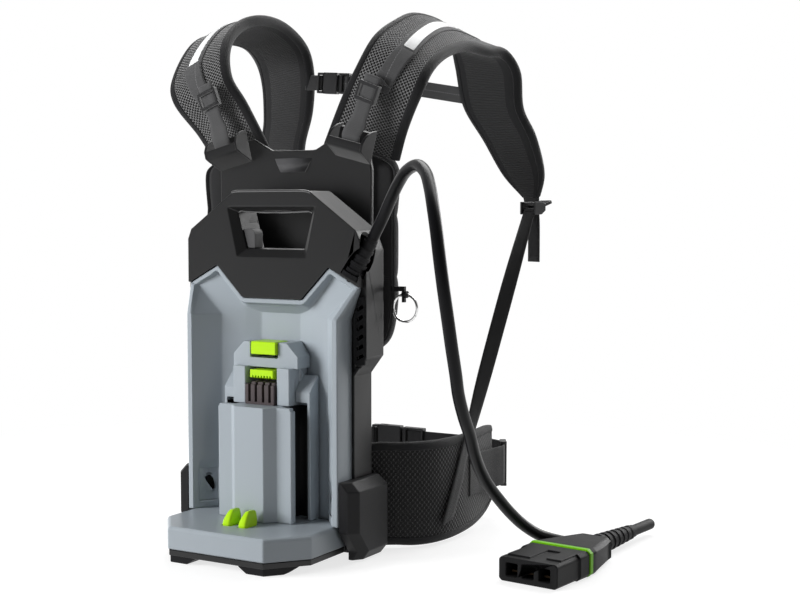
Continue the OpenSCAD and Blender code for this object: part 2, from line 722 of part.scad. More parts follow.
// Route of the cord from the strain relief to the connector
cord_route = [
    [127, 126, 362], [135, 125, 375], [144, 122, 388], [160, 111, 407], [179, 95, 424],
    [199, 77, 436], [222, 59, 441], [242, 40, 433], [258, 20, 418], [272, 1, 399],
    [283, -12, 375], [291, -20, 348], [296, -21, 318], [298, -16, 289], [297, -6, 261],
    [294, 8, 234], [289, 24, 210], [285, 43, 186], [281, 64, 164], [276, 84, 142],
    [272, 105, 121], [271, 127, 100], [273, 150, 80], [276, 173, 61], [282, 196, 43],
    [292, 219, 28], [308, 240, 19], [314, 247, 17]];
cord_steps = 2;
module cord_run() place() color(rubber_black)
    loft(tube_rings(smooth(cord_route, cord_steps), cord_d / 2, 10));

// ---- connector -----------------------------------------------------------

// Connector axis: its front end and its turn about Z
conn_front = [325, 113];
conn_turn = -6.3;
band_at = 66;
relief_len = 92;

module conn_place() { place() translate([conn_front[0], conn_front[1], 0]) rotate([0, 0, conn_turn]) children(); }

// Box with chamfered long edges, lying along Y
module bevel_box(w, y0, y1, z0, z1, c) {
    translate([0, y1, 0]) rotate([90, 0, 0]) linear_extrude(y1 - y0) polygon([
        [-w / 2 + c, z0], [w / 2 - c, z0], [w / 2, z0 + c], [w / 2, z1 - c], [w / 2 - c, z1],
        [-w / 2 + c, z1], [-w / 2, z1 - c], [-w / 2, z0 + c]]);
}

socket_x = [-20, 0, 20];
module connector_shell() conn_place() color(hardware_black) difference() {
    union() {
        bevel_box(conn_w, 0, 46, 0.6, conn_h, 3);
        bevel_box(conn_w + 4, 46, band_at - gap, 0, conn_h + 2, 4);
        // Raised pads on the upper face
        block([-30, 8, conn_h - 1], [-2, 50, conn_h + 2]);
        block([14, 14, conn_h - 1], [32, 50, conn_h + 2]);
    }
    for (x = socket_x) block([x - 7, -1, 7], [x + 7, 36, conn_h - 6]);
    block([-conn_w / 2 + 4, 40, 4], [conn_w / 2 - 4, band_at + 1, conn_h - 3]);
}

module connector_contacts() conn_place() color([0.75, 0.55, 0.2])
    for (x = socket_x) block([x - 4, 8, 10], [x + 4, 36, 12]);

module connector_band() conn_place() color([0.42, 0.8, 0.05]) difference() {
    bevel_box(conn_w + 6, band_at, band_at + 6, 0, conn_h + 3.4, 4.5);
    bevel_box(conn_w - 6, band_at - 1, band_at + 7, 4, conn_h - 3, 3);
}

rear_w = 42;
module connector_rear() conn_place() color(hardware_black) {
    hull() {
        bevel_box(conn_w + 3, band_at + 6 + gap, band_at + 16, 0, conn_h + 2, 4);
        bevel_box(rear_w, conn_len - 18, conn_len, 1, conn_h - 1, 5);
    }
    // Grip ribs on both flanks
    for (s = [-1, 1], k = [0:4])
        translate([s * (rear_w / 2 + 3.6 - k * 0.9), conn_len - 26 + k * 5, 13]) rotate([0, 0, s * 16])
            cube([5, 2.2, 19], center = true);
}

module connector_tail() conn_place() color(rubber_black) {
    y0 = conn_len + gap;
    translate([0, y0, 13]) rotate([-90, 0, 0]) {
        cylinder(r1 = 11, r2 = 7.4, h = relief_len);
        for (k = [0:6]) translate([0, 0, 6 + k * 12]) cylinder(r = 12.4 - k * 0.62, h = 5);
        // Smooth end of the pull tail
        translate([0, 0, relief_len - 1]) cylinder(r = 6.5, h = 46);
        translate([0, 0, relief_len + 45]) sphere(r = 6.5);
    }
}

// ---- harness plate and pad ------------------------------------------------

plate_y0 = body_back + rear_cover_t + gap;
plate_y1 = plate_y0 + 6;
module harness_plate() place() color(body_black) difference() {
    slab_y(plate_y0, plate_y1) polygon([
        [-96, 236], [96, 236], [105, 248], [107, 440], [100, 474], [56, 478], [30, 464],
        [-30, 464], [-56, 478], [-100, 474], [-107, 440], [-105, 248]]);
    // Weight-saving slots behind the pad
    for (x = [-60, 0, 60]) block([x - 14, plate_y0 - 1, 262], [x + 14, plate_y1 + 1, 330]);
}

anchor_x = 91;
anchor_front = plate_y0 - 27;
module lifter_anchors() place() color(hardware_black) mirrored() difference() {
    block([anchor_x - 16, anchor_front, 456], [anchor_x + 16, plate_y0 - gap, 482]);
    // Pocket for the webbing's loop, open at the top
    block([anchor_x - 12, anchor_front + 3, 462], [anchor_x + 12, anchor_front + 10, 483]);
    // Sloped underside
    translate([0, anchor_front, 456]) rotate([34, 0, 0]) translate([0, -1, -20]) cube([120, 40, 20]);
}

pad_section = [
    [1, 0], [0.97, 0.28], [0.88, 0.5], [0.66, 0.63], [0.4, 0.65], [0.2, 0.6], [0.1, 0.42],
    [-0.1, 0.42], [-0.2, 0.6], [-0.4, 0.65], [-0.66, 0.63], [-0.88, 0.5], [-0.97, 0.28], [-1, 0],
    [-0.97, -0.2], [-0.9, -0.34], [0.9, -0.34], [0.97, -0.2]];
// Height, share of the half width and share of the thickness
pad_rows = [
    [227, 0.5, 0.3], [230, 0.72, 0.6], [240, 0.88, 0.85], [256, 0.96, 0.97], [290, 1, 1],
    [308, 1, 0.98], [318, 1, 0.84], [328, 1, 0.98], [360, 1, 1], [378, 1, 0.98], [388, 1, 0.84],
    [398, 1, 0.98], [430, 1.02, 1], [452, 1.02, 0.95], [466, 0.94, 0.7], [474, 0.8, 0.4]];
pad_y = plate_y1 + gap + 0.34 * pad_thick;
module back_pad() place() color(mesh_black)
    loft(band_rings([for (p = pad_rows)
        [0, pad_y - 0.34 * pad_thick * (1 - p[2]), p[0], pad_half * p[1], 0, 0, p[2]]], pad_section, pad_thick));

// ---- shoulder straps -------------------------------------------------------

// Centre, half width vector towards the outer edge, share of the thickness
function strap_route(splay, out, up, flat, near) = [
    [85, 171, 460, 45, 9, -10, 0.7], [106 + out * 0.3, 165, 503, 40, 6, -18, 0.9], [128 + out * 0.7, 160, 540, 43, 0, -15, 1],
    [138 + splay + out, 181, 574 + up * 0.2, 41, -3, -20, 1],
    [142 + splay * 2 + out * 0.8, 223, 603 + up, 38, -2, flat - 21, 1],
    [142 + splay * 2 + out * 0.5, 270, 615 + up, 37, 5, flat - 21, 1], [147 + splay * 2, 319, 612 + up, 37, 3, flat - 20, 1],
    [152 + splay - near * 0.6, 359 - near, 597 + up * 0.4, 40, -1, -9, 1], [155 - near * 0.7, 373 - near, 568, 43, 3, -6, 1],
    [160 - near * 0.8, 380 - near, 522, 40, 2, -3, 1], [176 - near * 0.6, 392 - near, 483, 35, 1, 1, 0.95],
    [182, 407 - near * 0.2, 439, 27, 1, 1, 0.8],
    [190, 412, 410, 12, -4.4, 0, 0.5]];
module shoulder_strap(route) place() color(mesh_black)
    band(route, 3, cushion_section, strap_thick);
module shoulder_strap_left() mirror([1, 0, 0]) shoulder_strap(strap_route(4, 11, 11, 9, 0));
module shoulder_strap_right() shoulder_strap(strap_route(-3, 0, -9, 0, 7));

// Webbing from the top of each strap down to its anchor
function lifter_route(splay) = [
    [140.5 + splay, 177, 580, 10, -1, -5], [135 + splay / 2, 163, 561, 10, 0, -4], [128, 151.5, 552, 9.8, 0, -3.6],
    [120, 142, 548, 9.3, 0, -3.6], [95, 142, 484, 9.3, 0, -3.6], [92, 139, 480, 10, 0, -2],
    [91, 136.8, 473, 10, 0, 0], [91, 136.8, 463, 10, 0, 0]];
module lifter_webbing(splay) place() color(webbing_grey) loft(band_rings(lifter_route(splay), flat_section, webbing_t));
module lifter_webbing_left() mirror([1, 0, 0]) lifter_webbing(4);
module lifter_webbing_right() lifter_webbing(-3);

// Three-bar slide: the bars pass the webbing on alternate sides.
// Local X is across the webbing, local Z along it.
module three_bar(half, reach, depth, bar_d) {
    for (s = [-1, 1]) block([s > 0 ? half + 0.6 : -half - 3.6, -depth, -reach], [s > 0 ? half + 3.6 : -half - 0.6, depth, reach]);
    for (k = [-1, 0, 1]) block([-half - 1, k == 0 ? webbing_t / 2 + 0.5 : -webbing_t / 2 - 0.5 - bar_d, k * (reach - 2) - 2],
                               [half + 1, k == 0 ? webbing_t / 2 + 0.5 + bar_d : -webbing_t / 2 - 0.5, k * (reach - 2) + 2]);
}

lifter_at = [111.4, 142, 526];
// Tilt of the lifter webbing at its buckle
lifter_tilt = atan(25 / 64);
module lifter_buckle() place() color(hardware_black) translate(lifter_at)
    rotate([0, lifter_tilt, 0]) three_bar(webbing_w / 2, 11, 3.4, 2.4);
module lifter_buckle_left() mirror([1, 0, 0]) lifter_buckle();
module lifter_buckle_right() lifter_buckle();

// ---- sternum strap ---------------------------------------------------------

sternum_tilt = 3.87;
module sternum_place() { place() translate([0, 366, 555.5]) rotate([0, sternum_tilt, 0]) children(); }
module sternum_webbing_left() sternum_place() color(webbing_grey)
    block([-122, -webbing_t / 2, -webbing_w / 2], [-96, webbing_t / 2, webbing_w / 2]);
module sternum_webbing_right() sternum_place() color(webbing_grey)
    block([-66, -webbing_t / 2, -webbing_w / 2], [122, webbing_t / 2, webbing_w / 2]);

// Side-release buckle: X runs along the webbing, half is the webbing's
// half width, and the prong plate lies on the +Y side of the webbing.
module buckle_female(x0, x1, half, plate_t) {
    y0 = webbing_t / 2 + 0.2;
    difference() {
        block([x0, -1.6, -half - 4], [x1, y0 + plate_t + 2.4, half + 4]);
        block([x0 + 3, y0 - 0.1, -half - 0.9], [x1 + 1, y0 + plate_t + 0.4, half + 0.9]);
        // Windows of the two clips
        for (s = [-1, 1]) block([x0 + 5, y0 + 0.4, s > 0 ? half : -half - 5], [x0 + 12, y0 + plate_t - 0.2, s > 0 ? half + 5 : -half]);
    }
    // Loop for the webbing on this side
    for (s = [-1, 1]) block([x0 - 9, -3.4, s > 0 ? half + 0.6 : -half - 3.6], [x0 + 0.1, y0 + plate_t, s > 0 ? half + 3.6 : -half - 0.6]);
    block([x0 - 9, -3.4, -half - 1], [x0 - 6, -webbing_t / 2 - 0.4, half + 1]);
    block([x0 - 4, y0 + 0.3, -half - 1], [x0 + 0.1, y0 + plate_t, half + 1]);
}
module buckle_male(x0, x1, half, plate_t, reach) {
    y0 = webbing_t / 2 + 0.3;
    // Plate, two clips and a guide tongue
    block([x0, y0, -half - 0.6], [x1, y0 + plate_t, half + 0.6]);
    for (s = [-1, 1]) {
        block([x0 - reach, y0, s > 0 ? half - 3.4 : -half + 0.4], [x0 + 1, y0 + plate_t, s > 0 ? half - 0.4 : -half + 3.4]);
        block([x0 - reach, y0, s > 0 ? half - 1 : -half - 0.6], [x0 - reach * 0.55, y0 + plate_t, s > 0 ? half + 0.6 : -half + 1]);
    }
    block([x0 - reach * 0.9, y0, -half * 0.3], [x0 + 1, y0 + plate_t, half * 0.3]);
    for (s = [-1, 1]) block([x0 + 4, -4, s > 0 ? half + 0.6 : -half - 3.6], [x1, y0 + plate_t, s > 0 ? half + 3.6 : -half - 0.6]);
    for (x = [x0 + 6, x1 - 3]) block([x, -4, -half - 1], [x + 3, -webbing_t / 2 - 0.4, half + 1]);
}

module sternum_buckle_female() sternum_place() color(hardware_black) buckle_female(-93, -72, webbing_w / 2, 3);
module sternum_buckle_male() sternum_place() color(hardware_black) buckle_male(-71.6, -52, webbing_w / 2, 3, 15);

// ---- lower adjusters -------------------------------------------------------

adj_at = [190, 411, 396];
adj_yaw = -20;
// Webbing from the belt's wing up to the adjuster, round its bar and down
adjuster_route = [
    [165.2, 233, 26, 1, 12, 2], [167.9, 252, 66, 1, 11, 1], [168.8, 270, 106, 0, 10, 0.5],
    [170.2, 284, 132, 2, 9.5, 0], [175, 312, 196, 7, 6, 0], [183, 360, 300, 9.7, 1, 0],
    [188, 402, 381, 9.4, -3.4, 0], [188.8, 407.8, 391, 9.4, -3.4, 0],
    [189.1, 408.6, 393.6, 9.4, -3.4, 0], [190, 411, 395.2, 9.4, -3.4, 0], [190.9, 413.4, 393.6, 9.4, -3.4, 0],
    [191.2, 414.2, 391, 9.4, -3.4, 0], [191.6, 415.4, 372, 9.4, -3.4, 0], [191.4, 416, 328, 9.4, -3.4, 0]];
module adjuster_webbing() place() color(webbing_grey) loft(band_rings(adjuster_route, flat_section, webbing_t));
module adjuster_webbing_left() mirror([1, 0, 0]) adjuster_webbing();
module adjuster_webbing_right() adjuster_webbing();

module adjuster_frames() place() color(hardware_black) mirrored() translate(adj_at) rotate([0, 0, adj_yaw]) {
    for (s = [-1, 1]) difference() {
        hull() {
            block([s > 0 ? 11 : -13.5, -7, -8], [s > 0 ? 13.5 : -11, 5, 8]);
            block([s > 0 ? 11 : -13.5, 0, -3], [s > 0 ? 13.5 : -11, 12, 6]);
        }
        translate([-20, 8, 2]) rotate([0, 90, 0]) cylinder(r = 1.55, h = 40, $fn = 24);
    }
    translate([-12, 0, -4.6]) rotate([0, 90, 0]) cylinder(r = 1.5, h = 24, $fn = 24);
    translate([-12, -2, 6]) rotate([0, 90, 0]) cylinder(r = 1.8, h = 24, $fn = 24);
}

module adjuster_lever() place() color(hardware_black) translate(adj_at) rotate([0, 0, adj_yaw])
    translate([0, 8, 2]) rotate([18, 0, 0]) {
    translate([-13.5, 0, 0]) rotate([0, 90, 0]) cylinder(r = 1.5, h = 27, $fn = 24);
    block([-10.6, -2, -1.8], [10.6, 19, 1.8]);
    block([-9, 18, -1.6], [9, 21, 1.6]);
    for (y = [6:3:15]) block([-9, y, 1], [9, y + 1.2, 2.5]);
}
module adjuster_lever_left() mirror([1, 0, 0]) adjuster_lever();
module adjuster_lever_right() adjuster_lever();

// ---- waist belt ------------------------------------------------------------

// Plan of the right wing's middle line: X, Y, height of the lower edge,
// height of the upper edge and share of the thickness
wing_route = [
    [14, 160, 12, 112, 0.5], [50, 161, 9, 116, 0.7], [80, 165, 6, 120, 0.8], [104, 175.5, 4, 124, 0.8],
    [122, 186, 4, 124, 0.9], [139, 199, 3, 124, 1], [152, 219, 3, 124, 1], [160, 248, 4, 124, 1],
    [162, 284, 6, 124, 1], [159.5, 318, 9, 124, 0.95], [156, 350, 16, 124, 0.8], [155, 368, 26, 122, 0.5]];
module belt_wing() place() color(mesh_black)
    band([for (p = wing_route) [p[0], p[1], (p[2] + p[3]) / 2, 0, 0, -(p[3] - p[2]) / 2, p[4]]],
        3, cushion_section, wing_thick);
module belt_wing_left() mirror([1, 0, 0]) belt_wing();
module belt_wing_right() belt_wing();

belt_z = 72;
belt_y = 420;
function belt_side(s, tip) = concat([
    [167.2 * s, 286, belt_z], [166.6 * s, 300, belt_z], [165.8 * s, 318, belt_z], [167 * s, 345, belt_z],
    [169.5 * s, 366, belt_z],
    [169 * s, 378, belt_z], [156 * s, 400.5, belt_z], [140 * s, 410, belt_z], [116 * s, 417, belt_z],
    [94 * s, 420, belt_z], [84 * s, belt_y, belt_z]], [[tip, belt_y, belt_z]]);
module belt_webbing(s, tip) place() color(webbing_grey)
    loft(band_rings([for (p = belt_side(s, tip)) [p[0], p[1], p[2], 0, 0, belt_w / 2]], flat_section, webbing_t));
module belt_webbing_left() belt_webbing(-1, -44);
module belt_webbing_right() belt_webbing(1, -1);

module belt_place() { place() translate([0, belt_y, belt_z]) children(); }
module belt_buckle_female() belt_place() color(hardware_black) buckle_female(-41, -6, belt_w / 2, 5);
module belt_buckle_male() belt_place() color(hardware_black) buckle_male(-5.6, 30, belt_w / 2, 5, 30);

// Three-bar slides at the ends of the wings
module belt_adjusters() place() color(hardware_black) mirrored()
    translate([162.5, 389.25, belt_z]) rotate([0, 0, atan(13 / 22.5)]) rotate([0, -90, -90])
        three_bar(belt_w / 2, 10, 4, 3);

// ---- D-ring ----------------------------------------------------------------

ring_x = 145;
ring_y = 168;
ring_z = 283;
ring_r = 15.5;
wire_r = 1.5;
module d_ring_tab() place() color(webbing_grey) difference() {
    union() {
        block([114, ring_y - 2.2, ring_z + ring_r - 9], [ring_x, ring_y + 2.2, ring_z + ring_r + 9]);
        translate([ring_x - 3, ring_y, ring_z + ring_r]) rotate([0, 90, 0]) cylinder(r = 4, h = 6, $fn = 24);
    }
    translate([ring_x - 10, ring_y, ring_z + ring_r]) rotate([0, 90, 0]) cylinder(r = wire_r + 0.4, h = 20, $fn = 24);
    block([ring_x - 19, ring_y - 4, ring_z + ring_r - 12], [ring_x - 3.2, ring_y + 4, ring_z + ring_r + 3.6]);
}
module d_ring() place() color("silver") translate([ring_x, ring_y, ring_z])
    rotate([90, 0, 0]) rotate_extrude($fn = 48) translate([ring_r, 0]) circle(r = wire_r, $fn = 12);

// ---- output ------------------------------------------------------------------

rubber_feet();
base_frame();
shelf_tray();
front_cover();
back_frame();
rear_cover();
case_screws();
vent_grilles();
window_hook();
side_bumper_left();
side_bumper_right();
dock_tower();
dock_rails();
terminal_block();
terminal_blades();
latch();
release_button();
button_spring();
ejector_left();
ejector_right();
ejector_spring_left();
ejector_spring_right();
power_board();
inner_leads();
cable_clamp();
cord_gland();
strain_relief();
cord_run();
connector_shell();
connector_rear();
connector_band();
connector_contacts();
connector_tail();
harness_plate();
lifter_anchors();
back_pad();
shoulder_strap_left();
shoulder_strap_right();
lifter_webbing_left();
lifter_webbing_right();
lifter_buckle_left();
lifter_buckle_right();
sternum_webbing_left();
sternum_webbing_right();
sternum_buckle_female();
sternum_buckle_male();
adjuster_webbing_left();
adjuster_webbing_right();
adjuster_frames();
adjuster_lever_left();
adjuster_lever_right();
belt_wing_left();
belt_wing_right();
belt_webbing_left();
belt_webbing_right();
belt_adjusters();
belt_buckle_female();
belt_buckle_male();
d_ring_tab();
d_ring();
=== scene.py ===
"""Backpack battery carrier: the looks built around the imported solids.

The sections follow the carrier as it is put together: feet, case, cover, dock,
inside, cord and connector, harness, webbing and buckles, then floor and lamps.
Lengths in the tables are millimetres in the source's own frame, whose Y starts
at the shelf's front edge; W() turns them into the row frame.
"""
import json
import math

import bmesh
import bpy
import numpy as np
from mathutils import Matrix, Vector

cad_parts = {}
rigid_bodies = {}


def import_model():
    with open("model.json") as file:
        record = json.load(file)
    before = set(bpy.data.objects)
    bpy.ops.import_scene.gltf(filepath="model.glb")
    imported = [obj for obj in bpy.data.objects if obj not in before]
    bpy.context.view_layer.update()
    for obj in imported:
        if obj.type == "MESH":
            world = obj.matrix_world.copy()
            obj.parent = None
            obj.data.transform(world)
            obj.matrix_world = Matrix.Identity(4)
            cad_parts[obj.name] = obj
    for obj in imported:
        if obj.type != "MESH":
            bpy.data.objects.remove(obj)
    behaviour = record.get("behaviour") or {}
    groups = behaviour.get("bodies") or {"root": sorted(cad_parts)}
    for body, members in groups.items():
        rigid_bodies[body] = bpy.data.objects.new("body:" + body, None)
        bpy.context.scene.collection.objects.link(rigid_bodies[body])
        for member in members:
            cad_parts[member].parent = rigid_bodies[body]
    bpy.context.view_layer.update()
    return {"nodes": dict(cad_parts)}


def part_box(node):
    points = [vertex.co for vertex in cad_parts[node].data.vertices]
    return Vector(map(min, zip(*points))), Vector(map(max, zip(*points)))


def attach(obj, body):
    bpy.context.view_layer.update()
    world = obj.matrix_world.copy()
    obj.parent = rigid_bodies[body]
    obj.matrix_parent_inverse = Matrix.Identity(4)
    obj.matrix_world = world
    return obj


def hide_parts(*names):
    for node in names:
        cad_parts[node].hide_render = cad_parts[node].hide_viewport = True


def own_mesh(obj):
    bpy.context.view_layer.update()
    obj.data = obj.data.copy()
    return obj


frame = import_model()
scene = bpy.context.scene

# ---- camera ------------------------------------------------------------------------
# A 63 mm lens on a stand 0.4 m above the floor, right of the carrier's front.
# It is turned 30 degrees towards the carrier and tipped a little down.
camera = bpy.data.objects.new("Camera", bpy.data.cameras.new("Camera"))
scene.collection.objects.link(camera)
camera.location = (0.935, -1.431, 0.40)
turn, dip = math.radians(30), math.radians(3.877)
camera.rotation_mode = "QUATERNION"
camera.rotation_quaternion = Vector(
    (-math.sin(turn) * math.cos(dip), math.cos(turn) * math.cos(dip), -math.sin(dip))
).to_track_quat("-Z", "Y")
camera.data.lens, camera.data.sensor_width = 63.1, 36
scene.camera = camera


# ---- feet and base frame -------------------------------------------------------------
# The carrier stands on soft rubber feet under a black base frame. The frame is
# injection moulded with an eroded grain, and the case is screwed to it.
def feed(tree, socket, value):
    """Links a socket to an input, or sets a plain value there."""
    if isinstance(value, bpy.types.NodeSocket):
        tree.links.new(value, socket)
    else:
        socket.default_value = value


def node(tree, kind, settings=None, **inputs):
    """Adds a shader node; its inputs are given by name, or by number as i0, i1 and so on."""
    n = tree.nodes.new("ShaderNode" + kind)
    for k, v in (settings or {}).items():
        setattr(n, k, v)
    for k, v in inputs.items():
        feed(tree, n.inputs[int(k[1:])] if k[1:].isdigit() else n.inputs[k.replace("_", " ")], v)
    return n


def math_node(tree, operation, *values):
    """One step of arithmetic on values or sockets."""
    n = node(tree, "Math", {"operation": operation})
    for socket, value in zip(n.inputs, values):
        feed(tree, socket, value)
    return n.outputs[0]


def span(tree, value, lo, hi, a=0.0, b=1.0):
    """Maps value from lo..hi to a..b, and holds it there."""
    return node(tree, "MapRange", {"interpolation_type": "SMOOTHSTEP"}, i0=value, i1=lo, i2=hi, i3=a,
                i4=b).outputs[0]


def mix(tree, factor, a, b):
    """Blends colour a into colour b by a factor."""
    n = node(tree, "Mix", {"data_type": "RGBA"})
    for k, v in ((0, factor), (6, a), (7, b)):
        feed(tree, n.inputs[k], v if isinstance(v, (float, bpy.types.NodeSocket)) else (*v, 1))
    return n.outputs[2]


def start(name, **consts):
    """A new material with its tree and its surface shader."""
    m = bpy.data.materials.new(name)
    m.use_nodes = True
    t = m.node_tree
    b = t.nodes["Principled BSDF"]
    for k, v in consts.items():
        b.inputs[k.replace("_", " ")].default_value = v
    return m, t, b


def tint(c, k):
    """A colour made lighter or darker by a factor, held at white."""
    return tuple(min(1.0, x * k) for x in c)


def cloudy(t, rgb, scale, detail, low, high):
    """Object coordinates, a soft noise on them, and the colour made darker and lighter by it."""
    place = node(t, "TexCoord").outputs["Object"]
    cloud = node(t, "TexNoise", Vector=place, Scale=scale, Detail=detail).outputs[0]
    return place, cloud, mix(t, cloud, tint(rgb, low), tint(rgb, high))


def surface(t, b, colour, height, strength, distance):
    """Gives the surface its colour and its relief."""
    t.links.new(colour, b.inputs["Base Color"])
    bump = node(t, "Bump", Strength=strength, Distance=distance, Height=height)
    t.links.new(bump.outputs[0], b.inputs["Normal"])


def plastic(name, rgb, rough=0.45, grain=0.25, scale=900, edge_highlight=0.25, specular=0.4, **more):
    """Moulded plastic: eroded grain, faint clouding, and a painted highlight on rounded edges."""
    m, t, b = start(name, Specular_IOR_Level=specular, **more)
    place, cloud, body = cloudy(t, rgb, 9.0, 3.0, 0.93, 1.07)
    fine = node(t, "TexNoise", Vector=place, Scale=float(scale), Detail=2.0, Roughness=0.6).outputs[0]
    # Painted highlight: edges that the pointiness finds rounded are made lighter, as if they caught the
    # lamps.
    edge = span(t, node(t, "NewGeometry").outputs["Pointiness"], 0.52, 0.60, 0.0, edge_highlight)
    body = mix(t, math_node(t, "MULTIPLY", fine, 0.22), body, tint(rgb, 0.72))
    t.links.new(span(t, cloud, 0.3, 0.7, rough - 0.05, rough + 0.06), b.inputs["Roughness"])
    surface(t, b, mix(t, edge, body, tint(rgb, 1.55)), fine, grain, 0.0004)
    return m


def modifier(ob, kind, **settings):
    """Adds one modifier with its settings."""
    md = ob.modifiers.new(kind.title(), kind)
    for k, v in settings.items():
        setattr(md, k, v)
    return md


def put(ob, body="carrier", replaces=()):
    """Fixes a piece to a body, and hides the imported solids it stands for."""
    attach(ob, body)
    if replaces:
        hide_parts(*replaces)
    return ob


def rework(mesh, *steps):
    """Runs steps on the edges, vertices and faces of a mesh."""
    bm = bmesh.new()
    bm.from_mesh(mesh)
    for step in steps:
        step(bm)
    bm.to_mesh(mesh)
    bm.free()


def bevelled(cad_node, mat, radius, body="carrier", merge=True):
    """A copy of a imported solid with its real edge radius, in mm, on every edge that turns
    more than 28 degrees; the radius shrinks to 0.42 of the shortest edge beside it."""
    turns_more, room_share, least = math.radians(28), 0.42, 0.12
    bm = bmesh.new()
    bm.from_mesh(frame["nodes"][cad_node].data)
    bmesh.ops.remove_doubles(bm, verts=bm.verts, dist=0.00002)
    if merge:
        bmesh.ops.dissolve_limit(bm, angle_limit=math.radians(0.6), verts=bm.verts, edges=bm.edges)
    weight = bm.edges.layers.float.new("bevel_weight_edge")
    radius /= 1000
    for e in bm.edges:
        if len(e.link_faces) != 2 or e.calc_face_angle(0) < turns_more:
            continue
        beside = [o.calc_length() for v in e.verts for o in v.link_edges if o is not e]
        share = min(1.0, room_share * min(beside + [e.calc_length() * 2]) / radius)
        if share > least:
            e[weight] = share
    name = "Hard_" + cad_node.replace("shell", "housing")
    mesh = bpy.data.meshes.new(name)
    bm.to_mesh(mesh)
    bm.free()
    mesh.materials.clear()
    mesh.materials.append(mat)
    mesh.polygons.foreach_set("use_smooth", [True] * len(mesh.polygons))
    ob = bpy.data.objects.new(name, mesh)
    scene.collection.objects.link(ob)
    mesh.set_sharp_from_angle(angle=turns_more)
    modifier(ob, "BEVEL", width=radius, segments=2, limit_method="WEIGHT", use_clamp_overlap=False,
             harden_normals=True, miter_outer="MITER_ARC")
    modifier(ob, "WEIGHTED_NORMAL", keep_sharp=True, weight=60)
    return put(ob, body, (cad_node,))


rubber = plastic("rubber", (0.008, 0.008, 0.009), rough=0.6, grain=0.4, scale=600, edge_highlight=0.2, specular=0.25)
case_black = plastic("case_black", (0.0155, 0.0155, 0.016), rough=0.37, grain=0.15, edge_highlight=0.5, specular=0.4)
bevelled("rubber_feet", rubber, 1.0)
bevelled("base_frame", case_black, 0.8)

# ---- body shell --------------------------------------------------------------------
# Black moulded shell with the carry handle, closed by a rear cover. Plated
# screws hold the two, vent grilles are clipped into the flanks, and a grey
# moulded hook sits in the handle's window.
hook_grey = plastic("hook_grey", (0.075, 0.075, 0.077), rough=0.4, grain=0.15, edge_highlight=0.3)
bevelled("back_frame", case_black, 1.4, merge=False)
bevelled("rear_cover", case_black, 1.0)
bevelled("window_hook", hook_grey, 1.6)
bevelled("vent_grilles", rubber, 0.4)


def metal(name, rgb, rough=0.3, brushed=(1, 1, 12)):
    """Drawn or plated metal: fine lines vary its colour and its gloss."""
    m, t, b = start(name, Metallic=1.0)
    place = node(t, "Mapping", Vector=node(t, "TexCoord").outputs["Object"], Scale=brushed).outputs[0]
    lines = node(t, "TexNoise", Vector=place, Scale=260.0, Detail=3.0).outputs[0]
    t.links.new(span(t, lines, 0.3, 0.7, rough * 0.75, rough * 1.3), b.inputs["Roughness"])
    surface(t, b, mix(t, lines, tint(rgb, 0.86), tint(rgb, 1.08)), lines, 0.15, 0.0002)
    return m


def dress(cad_node, mat):
    """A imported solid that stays: it gets the better material."""
    ob = frame["nodes"][cad_node]
    for s in ob.material_slots:
        s.material = mat
    if not ob.material_slots:
        ob.data.materials.append(mat)


screw_metal = metal("screw_metal", (0.16, 0.16, 0.17), 0.42)
dress("case_screws", screw_metal)


# ---- handle rolls --------------------------------------------------------------------
# Polished rolls on the case's own plastic, along the grip's upper edge and
# over the window, where the mould is brought to a shine.
MIDDLE_Y = 219.0


def W(points):
    """Millimetres in the source's frame to metres in the row frame."""
    return (np.asarray(points, float) - [0, MIDDLE_Y, 0]) / 1000


def cubic(a, b, c, d, t):
    """Catmull-Rom cubic from b to c: its slope is half of c - a at b and half of d - b at c."""
    return 0.5 * (2 * b + (c - a) * t + (2 * a - 5 * b + 4 * c - d) * t * t
                  + (3 * b - a - 3 * c + d) * t ** 3)


def catmull(stations, steps):
    """A smooth row of stations through the given ones, with that many steps between two."""
    st = np.asarray(stations, float)
    first, last = np.arange(len(st) - 1), len(st) - 1
    near = [st[np.clip(first + k, 0, last), None] for k in (-1, 0, 1, 2)]
    rows = cubic(*near, (np.arange(steps) / steps)[None, :, None])
    return np.concatenate([rows.reshape(-1, st.shape[1]), st[-1:]])


def unit(v):
    """Vectors divided by their own lengths."""
    return v / np.maximum(np.linalg.norm(v, axis=-1, keepdims=True), 1e-12)


def run_to(points):
    """Length along a row of points up to each of them: the sum of the steps before it."""
    return np.concatenate([[0], np.cumsum(np.linalg.norm(np.diff(points, axis=0), axis=1))])


def new_object(name, verts, faces, uv=None, mats=(), index=None, smooth=True):
    """A mesh object from arrays of vertex places, faces, flat coordinates and material numbers."""
    mesh = bpy.data.meshes.new(name)
    mesh.from_pydata(np.asarray(verts, float).tolist(), [], list(faces))
    for m in mats:
        mesh.materials.append(m)
    if index is not None:
        mesh.polygons.foreach_set("material_index", np.asarray(index, np.int32))
    if uv is not None:
        layer = mesh.uv_layers.new(name="UVMap")
        loops = np.zeros(len(mesh.loops), np.int32)
        mesh.loops.foreach_get("vertex_index", loops)
        layer.data.foreach_set("uv", np.asarray(uv, np.float32)[loops].ravel())
    mesh.polygons.foreach_set("use_smooth", [smooth] * len(mesh.polygons))
    ob = bpy.data.objects.new(name, mesh)
    scene.collection.objects.link(ob)
    return ob


def outward(ob):
    """Turns the faces of a closed mesh outwards."""
    rework(ob.data, lambda bm: bmesh.ops.recalc_face_normals(bm, faces=bm.faces))
    return ob


def squares(n, m, ring):
    """Row, column and corner numbers of the squares of an n by m grid; with ring set the
    last column joins the first."""
    i, j = np.mgrid[0:n - 1, 0:m if ring else m - 1].reshape(2, -1)
    k = (j + 1) % m
    return i, j, np.stack([i * m + j, i * m + k, (i + 1) * m + k, (i + 1) * m + j], -1)


